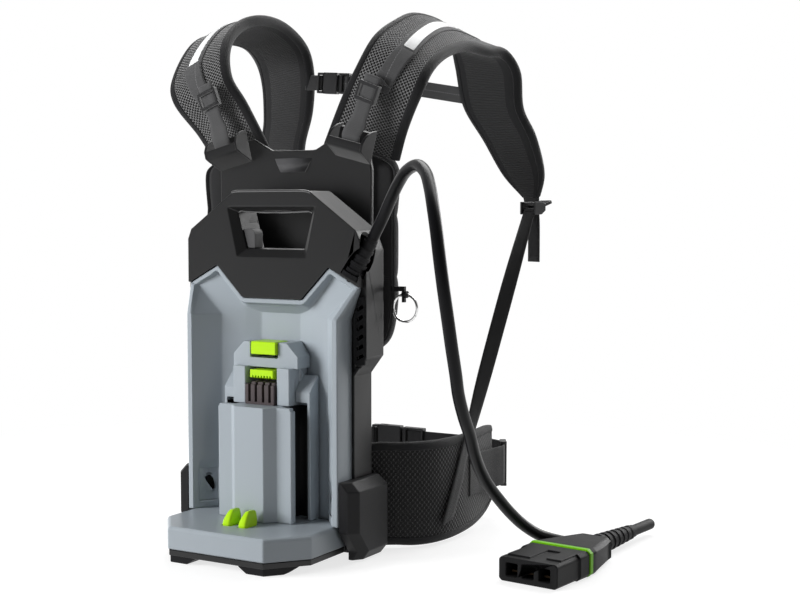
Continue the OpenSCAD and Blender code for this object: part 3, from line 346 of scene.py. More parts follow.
def grid_object(name, g, uv, mats, pick=None, ring=True):
    """A mesh over a grid of points. With ring set, each row is a closed ring, and a fan
    round the mean of its first and last ring closes the ends."""
    n, m = g.shape[:2]
    i, j, faces = squares(n, m, ring)
    faces, verts, uvs = faces.tolist(), g.reshape(-1, 3), uv.reshape(-1, 2)
    if ring:
        k = np.arange(m)
        for centre, row in ((n * m, 0), (n * m + 1, n - 1)):
            faces += np.stack([centre + 0 * k, row * m + k, row * m + (k + 1) % m], -1).tolist()
        i, j = np.concatenate([i, 0 * k, 0 * k + n - 2]), np.concatenate([j, k, k])
        verts = np.concatenate([verts, g[[0, -1]].mean(1)])
        uvs = np.concatenate([uvs, uv[[0, -1]].mean(1)])
    ob = new_object(name, verts, faces, uvs, mats, pick(i, j) if pick else None)
    return outward(ob) if ring else ob


def plain_grid(name, g, mat, ring=True):
    """A grid of points whose material needs no flat coordinates."""
    return grid_object(name, g, np.zeros(g.shape[:2] + (2,)), [mat], ring=ring)


def tube(name, path, radius, sides, mat):
    """A round tube: at each point of the path a circle of that radius, square to the path
    and carried along it without a twist."""
    path = np.asarray(path, float)
    ahead = unit(np.gradient(path, axis=0))
    u = unit(np.cross(ahead[0], [0, 0, 1.0] if abs(ahead[0][2]) < 0.9 else [1.0, 0, 0]))
    a = np.arange(sides) * 2 * math.pi / sides
    rings = []
    for place, t in zip(path, ahead):
        u = unit(u - t * float(u @ t))
        rings.append(place + radius * (np.cos(a)[:, None] * u + np.sin(a)[:, None] * np.cross(t, u)))
    uv = np.stack(np.broadcast_arrays(run_to(path)[:, None], (a * radius)[None]), -1)
    return grid_object(name, np.array(rings), uv, [mat])


roll_black = plastic("roll_black", (0.05, 0.05, 0.051), rough=0.12, grain=0.0, edge_highlight=0.2,
                     specular=1.0, Coat_Weight=1.0, Coat_Roughness=0.06)
# x and z of each roll; its depth and its radius stand in its call
GRIP_ROLL = [(-55, 414.6), (-50, 415.6), (-40, 415.9), (0, 416.0), (40, 415.9), (50, 415.2),
             (55, 413.6)]
WINDOW_ROLL = [(-51, 391.5), (-47, 393.2), (-38, 392.4), (-10, 391.6), (16, 391.8), (40, 392.8),
               (47, 393.0), (51, 391.5)]


def roll(name, points, depth, radius):
    """A thin tube along the points at that depth."""
    rows = catmull([(x, depth, z) for x, z in points], 6)
    return put(tube(name, W(rows), radius / 1000, 12, roll_black), "carrier")


roll("Grip_roll", GRIP_ROLL, 110.9, 1.5)
roll("Window_roll", WINDOW_ROLL, 118.6, 1.1)

# ---- shelf tray and front cover --------------------------------------------------------
# Grey injection moulded parts. The tray is screwed to the base; the cover is a
# skin 2.4 mm thick pressed over the black shell, with flat rims at the sides, a
# stepped bay wall between them and a pointed ear on either side of the notch.
cover_grey = plastic("cover_grey", (0.345, 0.385, 0.42), rough=0.34, grain=0.10, scale=1400, edge_highlight=0.2,
                     specular=0.5)
bevelled("shelf_tray", cover_grey, 1.5)

# Corners of the cover's border: x, z, and the depth of its lip there
COVER_EDGE = [(104.7, 41.3, 87), (104.7, 272, 87), (118, 308, 112), (78, 329.5, 112), (41, 292, 112),
              (0, 292, 112)]
EAR_FOOT, RIM_X, EDGE_X, SHELL_Y = 272, 98, 104.7, 117.7
CHEEK_X, CHEEK_Z = (78.5, 93), (50, 89)


def from_line(x, z, corners):
    """Distance to a row of straight lines in x and z, and the third value of the nearest place on it."""
    near, value = np.full(x.shape, 1e9), np.zeros(x.shape)
    for (ax, az, ay), (bx, bz, by) in zip(corners, corners[1:]):
        k = np.clip(((x - ax) * (bx - ax) + (z - az) * (bz - az)) / ((bx - ax) ** 2 + (bz - az) ** 2), 0, 1)
        d = np.hypot(x - ax - k * (bx - ax), z - az - k * (bz - az))
        value = np.where(d < near, ay + k * (by - ay), value)
        near = np.minimum(near, d)
    return near, value


def cover_depth(x, z):
    """Depth of the cover's face: straight steps from the rim in to the bay's back,
    never deeper than a slope that starts under the notch, and brought forward to
    the lip along the border, whose outer edge turns back on a 1.6 mm round."""
    lip_from, lip_width, slope, edge_round = 7.8, 2.8, 1.07, 1.6
    x = np.abs(x)
    up = np.clip((z - EAR_FOOT) / 36, 0, 1)
    rim, wall, front = RIM_X + 16 * up, 74.5 + 38 * up, 87 + 25 * up
    y = np.where(x > rim, front, np.where(
        x > wall, front + (115 - front) * (rim - x) / (rim - wall), np.where(
            x > 46, 123.5 - 8.5 * (x - 46) / (wall - 46), 130 - 6.5 * np.clip((x - 27.5) / 18.5, 0, 1))))
    d, _ = from_line(x, z, COVER_EDGE[3:])
    y = np.minimum(y, 115.5 + np.maximum(d - 4, 0) * slope)
    d, lip = from_line(x, z, COVER_EDGE)
    w = np.clip((lip_from - d) / lip_width, 0, 1)
    y = y + (lip - y) * w * w * (3 - 2 * w)
    return y + edge_round - np.sqrt(np.maximum(edge_round ** 2 - np.maximum(edge_round - d, 0) ** 2, 0))


def round_corner(x, z, before, corner, after, r):
    """Draws the points outside a corner's arc of radius r in to that arc."""
    before, corner, after = (np.array(p, float) for p in (before, corner, after))
    a, b = unit(before - corner), unit(after - corner)
    half = math.acos(float(a @ b)) / 2
    centre = corner + unit(a + b) * r / math.sin(half)
    dx, dz = np.abs(x) - centre[0], z - centre[1]
    beyond = (dx * a[0] + dz * a[1] < 0) & (dx * b[0] + dz * b[1] < 0)
    k = np.where(beyond, np.minimum(1, r / np.maximum(np.hypot(dx, dz), 1e-9)), 1)
    return np.sign(x) * (centre[0] + dx * k), centre[1] + dz * k


def cover_grid():
    """Columns fan out with the cover's half width above the ears' foot, and end on its
    upper border; rows and columns lie closer where the skin bends."""
    side = np.unique(np.concatenate([
        np.linspace(0, 27.5, 13), np.linspace(27.5, 38.3, 6), np.linspace(38.3, 46, 5),
        np.linspace(46, 64.9, 12), np.linspace(64.9, 74.5, 8), np.linspace(74.5, 78.5, 4),
        np.linspace(*CHEEK_X, 11), np.linspace(93, RIM_X, 5), np.linspace(RIM_X, 102.6, 5),
        [103.1, 103.5, 103.9, 104.2, 104.5, EDGE_X]]).round(4))
    u = np.concatenate([-side[:0:-1], side]) / EDGE_X
    fan, steps = 13.3 / 36, np.arange(EAR_FOOT, 340, 0.05)
    high = EDGE_X + (steps - EAR_FOOT) * fan
    line_x, line_z = [0, 41, 78, 118, 140], [292, 292, 329.5, 308, 296.2]
    gap = steps[None] - np.interp(np.abs(u)[:, None] * high[None], line_x, line_z)
    top = EAR_FOOT + 0.05 * np.argmax(gap >= 0, axis=1)
    low = np.concatenate([np.linspace(41.3, 50, 5), np.linspace(*CHEEK_Z, 21)[1:],
                          np.linspace(89, 262, 16)[1:], np.linspace(262, EAR_FOOT, 7)[1:]])
    v = np.concatenate([np.linspace(0, 0.94, 40)[1:], [0.955, 0.97, 0.98, 0.988, 0.994, 1.0]])
    z = np.concatenate([np.repeat(low[:, None], len(u), 1),
                        EAR_FOOT + (top - EAR_FOOT)[None] * v[:, None]])
    x = u[None] * (EDGE_X + np.maximum(z - EAR_FOOT, 0) * fan)
    for k, r in ((2, 4.0), (3, 4.5)):
        x, z = round_corner(x, z, COVER_EDGE[k - 1][:2], COVER_EDGE[k][:2], COVER_EDGE[k + 1][:2], r)
    return x, z


def cover_skin():
    """The grid at its depth, with three more rows and columns that run straight back from
    its border to the shell; the squares over the two wall pockets are left out."""
    x, z = cover_grid()
    y = cover_depth(x, z)
    back = np.array([0.33, 0.66, 1.0])
    x, z = (np.concatenate([f, f[-1:] + np.zeros((3, 1))]) for f in (x, z))
    y = np.concatenate([y, y[-1:] + (SHELL_Y - y[-1:]) * back[:, None]])
    first, last = y[:, [0]], y[:, [-1]]
    x, z = (np.concatenate([np.repeat(f[:, [0]], 3, 1), f, np.repeat(f[:, [-1]], 3, 1)], 1) for f in (x, z))
    y = np.concatenate([first + (SHELL_Y - first) * back[None, ::-1], y,
                        last + (SHELL_Y - last) * back[None]], 1)
    n, m = x.shape
    i, j, faces = squares(n, m, False)
    mx = (np.abs(x[:-1, :-1] + x[1:, 1:]) / 2).ravel()
    mz = ((z[:-1, :-1] + z[1:, 1:]) / 2).ravel()
    corner = (i >= n - 4) & ((j < 3) | (j >= m - 4))
    hole = (mx > CHEEK_X[0]) & (mx < CHEEK_X[1]) & (mz > CHEEK_Z[0]) & (mz < CHEEK_Z[1])
    ob = new_object("Cover_skin", W(np.stack([x, y, z], -1).reshape(-1, 3)),
                    faces[~(corner | hole)].tolist(), None, [cover_grey])
    same = 0.000004
    rework(ob.data, lambda bm: bmesh.ops.remove_doubles(bm, verts=bm.verts, dist=same),
           lambda bm: bmesh.ops.dissolve_degenerate(bm, edges=bm.edges, dist=same))
    ob.data.set_sharp_from_angle(angle=math.radians(40))
    modifier(ob, "SOLIDIFY", thickness=0.0024, offset=-1)
    return put(ob, "carrier", ("front_cover",))


cover_skin()


def wall_pocket(name, mirror):
    """Recess in the side wall with its four-cornered pocket: rings of points run from the
    recess's rim down its step, across its floor to the pocket's mouth, and down the pocket."""
    rim = np.array([(-10.5, 50), (12.05, 50), (12.05, 89), (-10.5, 89)])
    mouth = np.array([(7.4, 59.7), (11.0, 69.3), (0, 84), (-3.8, 75.8)])
    middle, share = np.array([4, 71]), np.linspace(0, 1, 9)[:-1, None]

    def loop(corners, inset, deep):
        """Eight points on each of the four sides, drawn in to the middle by inset."""
        c = corners + (middle - corners) * inset
        s = np.concatenate([c[k] + (c[(k + 1) % 4] - c[k]) * share for k in range(4)])
        return np.column_stack([s, np.full(len(s), deep)])

    g = np.array([loop(rim, 0, 0), loop(rim, 0, 1.4), loop(rim, 0.5, 1.4), loop(mouth, -0.06, 1.4),
                  loop(mouth, 0, 1.9), loop(mouth, 0, 8), loop(mouth, 0.4, 9)])
    # The wall runs 23.5 mm in and 28 mm back over a length of 36.555 mm
    run, rise, length = 23.5, 28, 36.555
    s, z, deep = g[..., 0] + 18.277, g[..., 1], g[..., 2]
    x = RIM_X - s * run / length + deep * rise / length
    y = 87 + s * rise / length + deep * run / length
    pts = W(np.stack([-x if mirror else x, y, z], -1))
    n, m = pts.shape[:2]
    i, _, faces = squares(n, m, True)
    k = np.arange(m)
    fan = np.stack([(n - 1) * m + k, (n - 1) * m + (k + 1) % m, 0 * k + n * m], -1)
    ob = new_object(name, np.concatenate([pts.reshape(-1, 3), pts[-1].mean(0)[None]]),
                    faces.tolist() + fan.tolist(), None, [cover_grey, rubber],
                    np.concatenate([i >= 4, k >= 0]), smooth=False)

    def face_the_bay(bm):
        """Turns all faces over if the recess's floor looks into the wall."""
        bm.faces.ensure_lookup_table()
        if bm.faces[2 * m].normal.x * (1 if mirror else -1) < 0:
            bmesh.ops.reverse_faces(bm, faces=bm.faces)

    rework(ob.data, lambda bm: bmesh.ops.recalc_face_normals(bm, faces=bm.faces), face_the_bay)
    return put(ob, "carrier")


wall_pocket("Wall_pocket_left", True)
wall_pocket("Wall_pocket_right", False)

# ---- side bumpers -----------------------------------------------------------------
# Black moulded guards screwed to the body's flanks. The top slopes in, the
# front corner is broken, and the lower front slopes back under the body.
bumper_black = plastic("bumper_black", (0.013, 0.013, 0.014), rough=0.45, grain=0.3, edge_highlight=0.8, specular=0.22)
# Height, how far the flank moves in, and depth of the front
BUMPER = [(0.3, 8, 108), (11, 0, 108), (35, 0, 88), (81.5, 0, 88), (91.6, 10, 88)]


def rounded(ob, width, segments, turn):
    """Gives every edge that turns more than that many degrees a radius."""
    modifier(ob, "BEVEL", width=width, segments=segments, limit_method="ANGLE",
             angle_limit=math.radians(turn), harden_normals=True)


def bumper(name, cad_node, sign):
    """Rings of one plan whose outer corners move in by the inset and whose front moves back."""
    z, inset, front = np.array(BUMPER, float).T
    same = np.ones(len(z))
    back, out, root, heel, mid = 164.6 - inset * 0.3, 126.2 - inset, 105.3 * same, 108.5 * same, 117.5 * same
    x = np.stack([root, out - 8.9 + inset * 0.1, out, out, out - 4, heel, heel, root], 1)
    y = np.stack([front, front, front + 11, back - 4, back, back, mid, mid], 1)
    ob = plain_grid(name, W(np.stack([sign * x, y, np.repeat(z[:, None], 8, 1)], -1)), bumper_black)
    rounded(ob, 0.0018, 3, 20)
    modifier(ob, "WEIGHTED_NORMAL", keep_sharp=True, weight=60)
    return put(ob, "carrier", (cad_node,))


bumper("Bumper_left", "side_bumper_left", -1)
bumper("Bumper_right", "side_bumper_right", 1)

# ---- dock ------------------------------------------------------------------------------
# Grey moulded tower with guide rails for the pack, screwed to the cover. A brown
# contact housing on it holds brass blades, and black sheets of painted shade stand
# in the guide slots, where there is only deep shadow.
terminal_brown = plastic("terminal_brown", (0.075, 0.062, 0.064), rough=0.42, grain=0.2, edge_highlight=0.3)
brass = metal("brass", (0.72, 0.50, 0.25), 0.28)
bevelled("dock_tower", cover_grey, 0.9)
bevelled("dock_rails", cover_grey, 1.0)
bevelled("terminal_block", terminal_brown, 0.5)
dress("terminal_blades", brass)
# Plan and heights of the black sheets of painted shade in the guide slots
SHADE_SHEET_PLAN = np.array([(39.4, 90), (39.4, 108), (40.4, 109.4), (54.6, 109.4), (55.6, 108.4), (55.6, 99.6)])
SHADE_SHEET_Z = np.linspace(44, 172, 5)


def slot_shade_sheet(name, sign):
    """A black U in plan, carried up the slot: a sheet of painted shade."""
    x, y, z = np.broadcast_arrays(sign * SHADE_SHEET_PLAN[:, 0], SHADE_SHEET_PLAN[:, 1], SHADE_SHEET_Z[:, None])
    g = np.stack([x, y, z], -1)
    ob = plain_grid(name, W(g if sign > 0 else g[:, ::-1]), rubber, ring=False)
    modifier(ob, "SOLIDIFY", thickness=0.0005, offset=0)
    return put(ob, "carrier")


slot_shade_sheet("Slot_liner_left", -1)
slot_shade_sheet("Slot_liner_right", 1)

# ---- latch and release button ------------------------------------------------------------
# Lime mouldings at the dock's head. The button is pressed down against a wound
# steel spring, and its ramp draws the latch back so that the pack comes free.
lime = plastic("lime", (0.45, 0.78, 0.012), rough=0.34, grain=0.08, scale=1200, edge_highlight=0.1, specular=0.4)
steel = metal("steel", (0.62, 0.62, 0.62), 0.3)
bevelled("latch", lime, 0.6, "latch")
bevelled("release_button", lime, 0.8, "release_button")


def coil(name, cad_node, turns, wire):
    """A wound spring in the place of its plain tube: x and y go round a circle while z
    climbs evenly."""
    lo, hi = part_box(cad_node)
    r, height = (hi.x - lo.x) / 2 - wire, hi.z - lo.z
    share = np.linspace(0, 1, int(turns * 20) + 1)
    a = share * turns * 2 * math.pi
    path = np.stack([(lo.x + hi.x) / 2 + r * np.cos(a), (lo.y + hi.y) / 2 + r * np.sin(a),
                     lo.z + wire + (height - 2 * wire) * share], 1)
    ob = tube(name, path, wire, 8, steel)
    put(ob, "carrier", (cad_node,))
    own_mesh(ob)


coil("Spring_button", "button_spring", 5, 0.0007)

# ---- ejector pads -----------------------------------------------------------------
# Two lime moulded fins stand through the shelf, each on its own steel spring, so
# that the pack lifts when it is let go. Each leans back and narrows upwards.
# Height, width, front, rear and lean of the fin's rings
FIN = [(41.5, 11.7, 35.2, 58.8, 0), (43.5, 11.9, 35.1, 58.9, 0), (48, 10.6, 36.6, 58.9, 0.4),
       (53, 8.2, 39.8, 58.4, 0.9),
       (56, 6.4, 42.4, 57.6, 1.2), (57.4, 4.6, 44.2, 56, 1.4), (57.9, 2.4, 46.4, 53.6, 1.5)]


def fin_pad(name, cad_node, body):
    """Rings of rounded rectangles, each the power 0.4 of a cosine and a sine."""
    lo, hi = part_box(cad_node)
    rows = catmull([(lo.z * 1000, 11.4, 35.5, 58.5, 0), (41, 11.4, 35.5, 58.5, 0)] + FIN, 5)
    a = np.linspace(0, 2 * math.pi, 41)[:-1]
    c, q = (np.sign(f) * np.abs(f) ** 0.4 for f in (np.cos(a), np.sin(a)))
    z, w, front, rear, lean = rows.T[..., None]
    mid = (lo.x + hi.x) * 500
    g = W(np.stack([mid + lean + w / 2 * c, (front + rear) / 2 + (rear - front) / 2 * q, z + 0 * c], -1))
    return put(plain_grid(name, g, lime), body, (cad_node,))


for side in ("left", "right"):
    fin_pad("Ejector_pad_" + side, "ejector_" + side, "ejector_" + side)
    coil("Spring_ejector_" + side, "ejector_spring_" + side, 6, 0.0008)

# ---- inside ------------------------------------------------------------------------
# A green power board stands behind the contacts, with red leads soldered to it.
# A black clamp holds the leads to the case where the cord comes in.
board_green = plastic("board_green", (0.01, 0.09, 0.03), rough=0.35, grain=0.1, edge_highlight=0.1)
lead_red = plastic("lead_red", (0.18, 0.01, 0.01), rough=0.45, grain=0.1, edge_highlight=0.1)
bevelled("power_board", board_green, 0.3)
bevelled("cable_clamp", case_black, 0.6)
dress("inner_leads", lead_red)

# ---- power cord and connector --------------------------------------------------------
# A stiff rubber cord 13 mm thick leaves a gland through a ribbed relief and lies
# round to a flat three-pole connector: black shell and grip moulded over brass
# sockets, a green band clipped between them, and a ribbed rubber pull tail.
connector_black = plastic("connector_black", (0.0085, 0.0085, 0.009), rough=0.52, grain=0.2, edge_highlight=1.2,
                          specular=0.16)
band_green = plastic("band_green", (0.15, 0.45, 0.004), rough=0.4, grain=0.08, edge_highlight=0.1, specular=0.3)
# Painted shade: the brass of the sockets is made nearly black, for the dark inside the socket holes.
socket_brass = metal("socket_brass", (0.03, 0.02, 0.012), 0.5)
cord_black = plastic("cord_black", (0.007, 0.007, 0.008), rough=0.34, grain=0.1, scale=500, edge_highlight=0.1,
                     specular=0.12)
dress("cord_gland", rubber)
bevelled("strain_relief", rubber, 0.7)
bevelled("connector_shell", connector_black, 1.2)
bevelled("connector_rear", connector_black, 1.4)
bevelled("connector_band", band_green, 0.5)
dress("connector_contacts", socket_brass)
dress("connector_tail", rubber)
CORD = [
    (127, 126, 362), (135, 125, 375), (144, 122, 388), (160, 111, 407), (179, 95, 424),
    (199, 77, 436), (222, 59, 441), (242, 40, 433), (258, 20, 418), (272, 1, 399),
    (283, -12, 375), (291, -20, 348), (296, -21, 318), (298, -16, 289), (297, -6, 261),
    (294, 8, 234), (289, 24, 210), (285, 43, 186), (281, 64, 164), (276, 84, 142),
    (272, 105, 121), (271, 127, 100), (273, 150, 80), (276, 173, 61), (282, 196, 43),
    (292, 219, 28), (308, 240, 19), (314, 247, 17)]
cord_path = W(catmull(CORD, 8))
cord = put(tube("Cord_run", cord_path, 0.013 / 2, 20, cord_black), "carrier", ("cord_run",))

# ---- harness plate -------------------------------------------------------------------
# Stiff black moulded plate screwed to the case behind the handle. A satin ramp
# lies under its neck notch, tilted up towards the top lamp; its grey, lighter than
# the plate's black, is painted light for the lit facet there.
# Painted light: the ramp's grey is lighter than the plate's black to show its lit facet.
panel_grey = plastic("panel_grey", (0.050, 0.050, 0.052), rough=0.36, grain=0.15, edge_highlight=0.5, specular=0.4)
bevelled("harness_plate", case_black, 1.5)
PLATE_RAMP = [[(-17, 155.2, 438.5), (0, 154.9, 438.3), (17, 155.2, 438.5)],
              [(-22, 155.4, 447), (0, 155.1, 447), (22, 155.4, 447)],
              [(-27, 157.6, 455.5), (0, 157.4, 455.5), (27, 157.6, 455.5)]]
ob = plain_grid("Plate_ramp", W(PLATE_RAMP), panel_grey, ring=False)
modifier(ob, "SOLIDIFY", thickness=0.002, offset=-1)
put(ob, "carrier")

# ---- lifter anchors ----------------------------------------------------------------
# Moulded pockets screwed to the harness plate's shoulders. Each has a bar across
# its mouth that the lifter webbing loops round, and leans in line with its pull.
anchor_black = plastic("anchor_black", (0.0095, 0.0095, 0.010), rough=0.42, grain=0.15, edge_highlight=1.0,
                       specular=0.25)
POCKET = [(157, -15), (136, -4), (131.5, -1), (131, 0), (131, 7.6), (131.6, 8), (134.4, 8), (134.8, 7.4),
          (134.8, 1), (151, 1), (151, 19), (152, 20), (157, 21)]
CHEEK = [(157, -15), (136, -4), (131.5, -1), (131, 0), (131, 8), (136, 16), (146, 22), (157, 24)]
ANCHOR_PARTS = (("pocket", (0, 43), POCKET), ("cheek_in", (-2.6, 0), CHEEK), ("cheek_out", (43, 46), CHEEK))


def anchor(side, sign, foot):
    """Each part is one closed profile carried straight along the bar, which leans 14 degrees."""
    lean = math.radians(14)
    for part, ends, profile in ANCHOR_PARTS:
        u, y, w = np.broadcast_arrays(np.array(ends, float)[:, None], *np.array(profile, float).T)
        g = W(np.stack([sign * (65 + u * math.cos(lean) + w * math.sin(lean)), y,
                        foot - u * math.sin(lean) + w * math.cos(lean)], -1))
        ob = plain_grid("Lifter_%s_%s" % (part, side), g, anchor_black)
        rounded(ob, 0.0006, 2, 30)
        first = (part, side) == ("pocket", "left")
        put(ob, "carrier", ("lifter_anchors",) if first else ())


anchor("left", -1, 466)
anchor("right", 1, 471)


# ---- shoulder straps --------------------------------------------------------------
# Foam straps with open spacer mesh outside and cloth inside, bound along both
# edges. A cloth tape is sewn down the middle with a reflective strip on it, and
# a flap at its head takes the lifter webbing.
def dots(t, uv, pitch_u, pitch_v):
    """Distance to the nearest point of a staggered lattice, in pitches."""
    out = []
    for shift in (0.0, 0.5):
        p = node(t, "VectorMath", {"operation": "MULTIPLY_ADD"}, i0=uv,
                 i1=(1 / pitch_u, 1 / pitch_v, 1), i2=(shift, shift, 0)).outputs[0]
        f = node(t, "VectorMath", {"operation": "FRACTION"}, i0=p).outputs[0]
        f = node(t, "VectorMath", {"operation": "SUBTRACT"}, i0=f, i1=(0.5, 0.5, 0)).outputs[0]
        f = node(t, "VectorMath", {"operation": "MULTIPLY"}, i0=f, i1=(pitch_u / pitch_v, 1, 0)).outputs[0]
        out.append(node(t, "VectorMath", {"operation": "LENGTH"}, i0=f).outputs["Value"])
    return math_node(t, "MINIMUM", *out)


def spacer_mesh(name, yarn, hole, pitch=0.0044, radius=0.30):
    """Warp-knitted spacer mesh: round holes in staggered rows, lit yarn between."""
    m, t, b = start(name, Roughness=0.75, Specular_IOR_Level=0.35, Sheen_Weight=0.35,
                    Sheen_Roughness=0.4, Sheen_Tint=(0.8, 0.8, 0.8, 1))
    uv = node(t, "UVMap").outputs[0]
    d = dots(t, uv, pitch, pitch * 1.25)
    inside = span(t, d, radius - 0.07, radius + 0.07, 1.0, 0.0)
    knit = node(t, "TexNoise", Vector=uv, Scale=1500.0, Detail=1.0).outputs[0]
    _, _, body = cloudy(t, yarn, 14.0, 4.0, 0.85, 1.12)
    body = mix(t, math_node(t, "MULTIPLY", knit, 0.5), body, tint(yarn, 0.6))
    height = math_node(t, "ADD", span(t, d, radius - 0.1, radius + 0.18),
                       math_node(t, "MULTIPLY", knit, 0.15))
    surface(t, b, mix(t, inside, body, hole), height, 0.9, 0.0011)
    return m


def wave(t, value, length):
    """A sine of the value, one turn to each length."""
    return math_node(t, "SINE", math_node(t, "MULTIPLY", value, 2 * math.pi / length))


def cloth(name, rough, specular, sheen, sheen_rough):
    """A new cloth material with the two parts of its flat coordinates."""
    m, t, b = start(name, Roughness=rough, Specular_IOR_Level=specular, Sheen_Weight=sheen,
                    Sheen_Roughness=sheen_rough)
    return m, t, b, node(t, "SeparateXYZ", i0=node(t, "UVMap").outputs[0]).outputs


def ribbed_cloth(name, rgb, rib=0.0032, strength=0.6):
    """Fine-ribbed or plain woven cloth: one wave along for the ribs, one across for the weft."""
    m, t, b, uv = cloth(name, 0.85, 0.2, 0.12, 0.5)
    ribs, weft = wave(t, uv[0], rib), wave(t, uv[1], 0.0011)
    _, _, body = cloudy(t, rgb, 22.0, 4.0, 0.82, 1.15)
    body = mix(t, span(t, ribs, -0.9, 0.3, 0.45, 0.0), body, tint(rgb, 0.4))
    surface(t, b, body, math_node(t, "ADD", ribs, math_node(t, "MULTIPLY", weft, 0.25)), strength, 0.0005)
    return m


def woven(name, rgb, stitch=None):
    """Webbing: a wave along times a wave across makes the weave, with a dashed sewn line
    at that place across if asked."""
    m, t, b, uv = cloth(name, 0.7, 0.3, 0.15, 0.45)
    bars, warp = wave(t, uv[0], 0.0019), wave(t, uv[1], 0.0013)
    weave = math_node(t, "MULTIPLY", bars, warp)
    _, _, body = cloudy(t, rgb, 30.0, 4.0, 0.85, 1.14)
    body = mix(t, span(t, weave, -0.8, 0.8, 0.4, 0.0), body, tint(rgb, 0.5))
    height = math_node(t, "ADD", weave, math_node(t, "MULTIPLY", warp, 0.4))
    if stitch is not None:
        off = math_node(t, "ABSOLUTE", math_node(t, "SUBTRACT", uv[1], stitch))
        row = span(t, off, 0.0003, 0.0006, 1.0, 0.0)
        dash = span(t, math_node(t, "FRACT", math_node(t, "DIVIDE", uv[0], 0.0032)), 0.66, 0.74, 1.0, 0.0)
        sewn = math_node(t, "MULTIPLY", row, dash)
        body = mix(t, math_node(t, "MULTIPLY", sewn, 0.8), body, tint(rgb, 2.2))
        height = math_node(t, "SUBTRACT", height, math_node(t, "MULTIPLY", row, 1.6))
    surface(t, b, body, height, 0.45, 0.0004)
    return m


# Painted light: the straps' yarn is made more than twice as light as the wings' mesh of the same fabric, for
# the top lamp falling on the straps.
mesh_outer = spacer_mesh("mesh_outer", (0.26, 0.26, 0.263), (0.004, 0.004, 0.004), pitch=0.0042,
                         radius=0.27)
inner_ribs = ribbed_cloth("inner_ribs", (0.040, 0.040, 0.041))
inner_plain = ribbed_cloth("inner_plain", (0.024, 0.024, 0.025), rib=0.0014, strength=0.25)
binding = woven("binding", (0.010, 0.010, 0.011), stitch=0.0018)
webbing_grey = woven("webbing_grey", (0.085, 0.085, 0.087), stitch=0.0)
reflective = plastic("reflective", (0.86, 0.87, 0.87), rough=0.32, grain=0.2, scale=1600, edge_highlight=0.0,
                     specular=0.6)
# Section of a padded band: share of its half width, and share of its thickness
CUSHION = [(1, 0), (0.97, 0.28), (0.86, 0.5), (0.55, 0.62), (0, 0.66), (-0.55, 0.62), (-0.86, 0.5),
           (-0.97, 0.28), (-1, 0), (-0.96, -0.2), (-0.84, -0.3), (-0.4, -0.34), (0.4, -0.34),
           (0.84, -0.3), (0.96, -0.2)]


def dense_section(section, steps):
    """A closed section with more points, on cubics through the given ones."""
    s, out = np.array(section, float), []
    for a, b, c, d in zip(np.roll(s, 1, 0), s, np.roll(s, -1, 0), np.roll(s, -2, 0)):
        count = max(1, round(np.linalg.norm((c - b) * [1, 0.5]) * steps))
        out.append(cubic(a, b, c, d, (np.arange(count) / count)[:, None]))
    return np.concatenate(out)


def coords(mesh):
    """The vertex places of a mesh as one array."""
    out = np.zeros(len(mesh.vertices) * 3, np.float32)
    mesh.vertices.foreach_get("co", out)
    return out.reshape(-1, 3).astype(float)


def inflate(ob, pressure, cap, pins, frames=16):
    """Blows a padded piece up like cloth. Pinned points are its seams, and no point moves
    further than the cap."""
    ob.vertex_groups.new(name="pins").add(pins.tolist(), 1.0, "REPLACE")
    rest = coords(ob.data)
    cloth = ob.modifiers.new("Cloth", "CLOTH")
    s = cloth.settings
    s.quality, s.mass = 6, 0.1
    s.tension_stiffness = s.compression_stiffness = 30
    s.shear_stiffness, s.bending_stiffness = 10, 0.3
    s.use_pressure, s.uniform_pressure_force = True, pressure
    s.vertex_group_mass = "pins"
    s.effector_weights.gravity = 0
    cloth.collision_settings.use_collision = False
    for f in range(1, frames + 1):
        scene.frame_set(f)
    moved = coords(ob.evaluated_get(bpy.context.evaluated_depsgraph_get()).to_mesh()) - rest
    ob.modifiers.remove(cloth)
    scene.frame_set(1)
    moved *= np.minimum(1, cap / np.maximum(np.linalg.norm(moved, axis=1, keepdims=True), 1e-9))
    ob.data.vertices.foreach_set("co", (rest + moved).astype(np.float32).ravel())
    ob.data.update()


def slab(name, g, up, uv, mat, thick):
    """A thin piece over a grid of points, thickened away from up and rounded."""
    if (np.cross(g[1:, :-1] - g[:-1, :-1], g[:-1, 1:] - g[:-1, :-1]) * up[:-1, :-1]).sum() > 0:
        g, uv = g[:, ::-1], uv[:, ::-1]
    ob = grid_object(name, g, uv, [mat], ring=False)
    modifier(ob, "SOLIDIFY", thickness=thick / 1000, offset=-1)
    modifier(ob, "SUBSURF", levels=1, render_levels=1)
    return put(ob, "carrier")


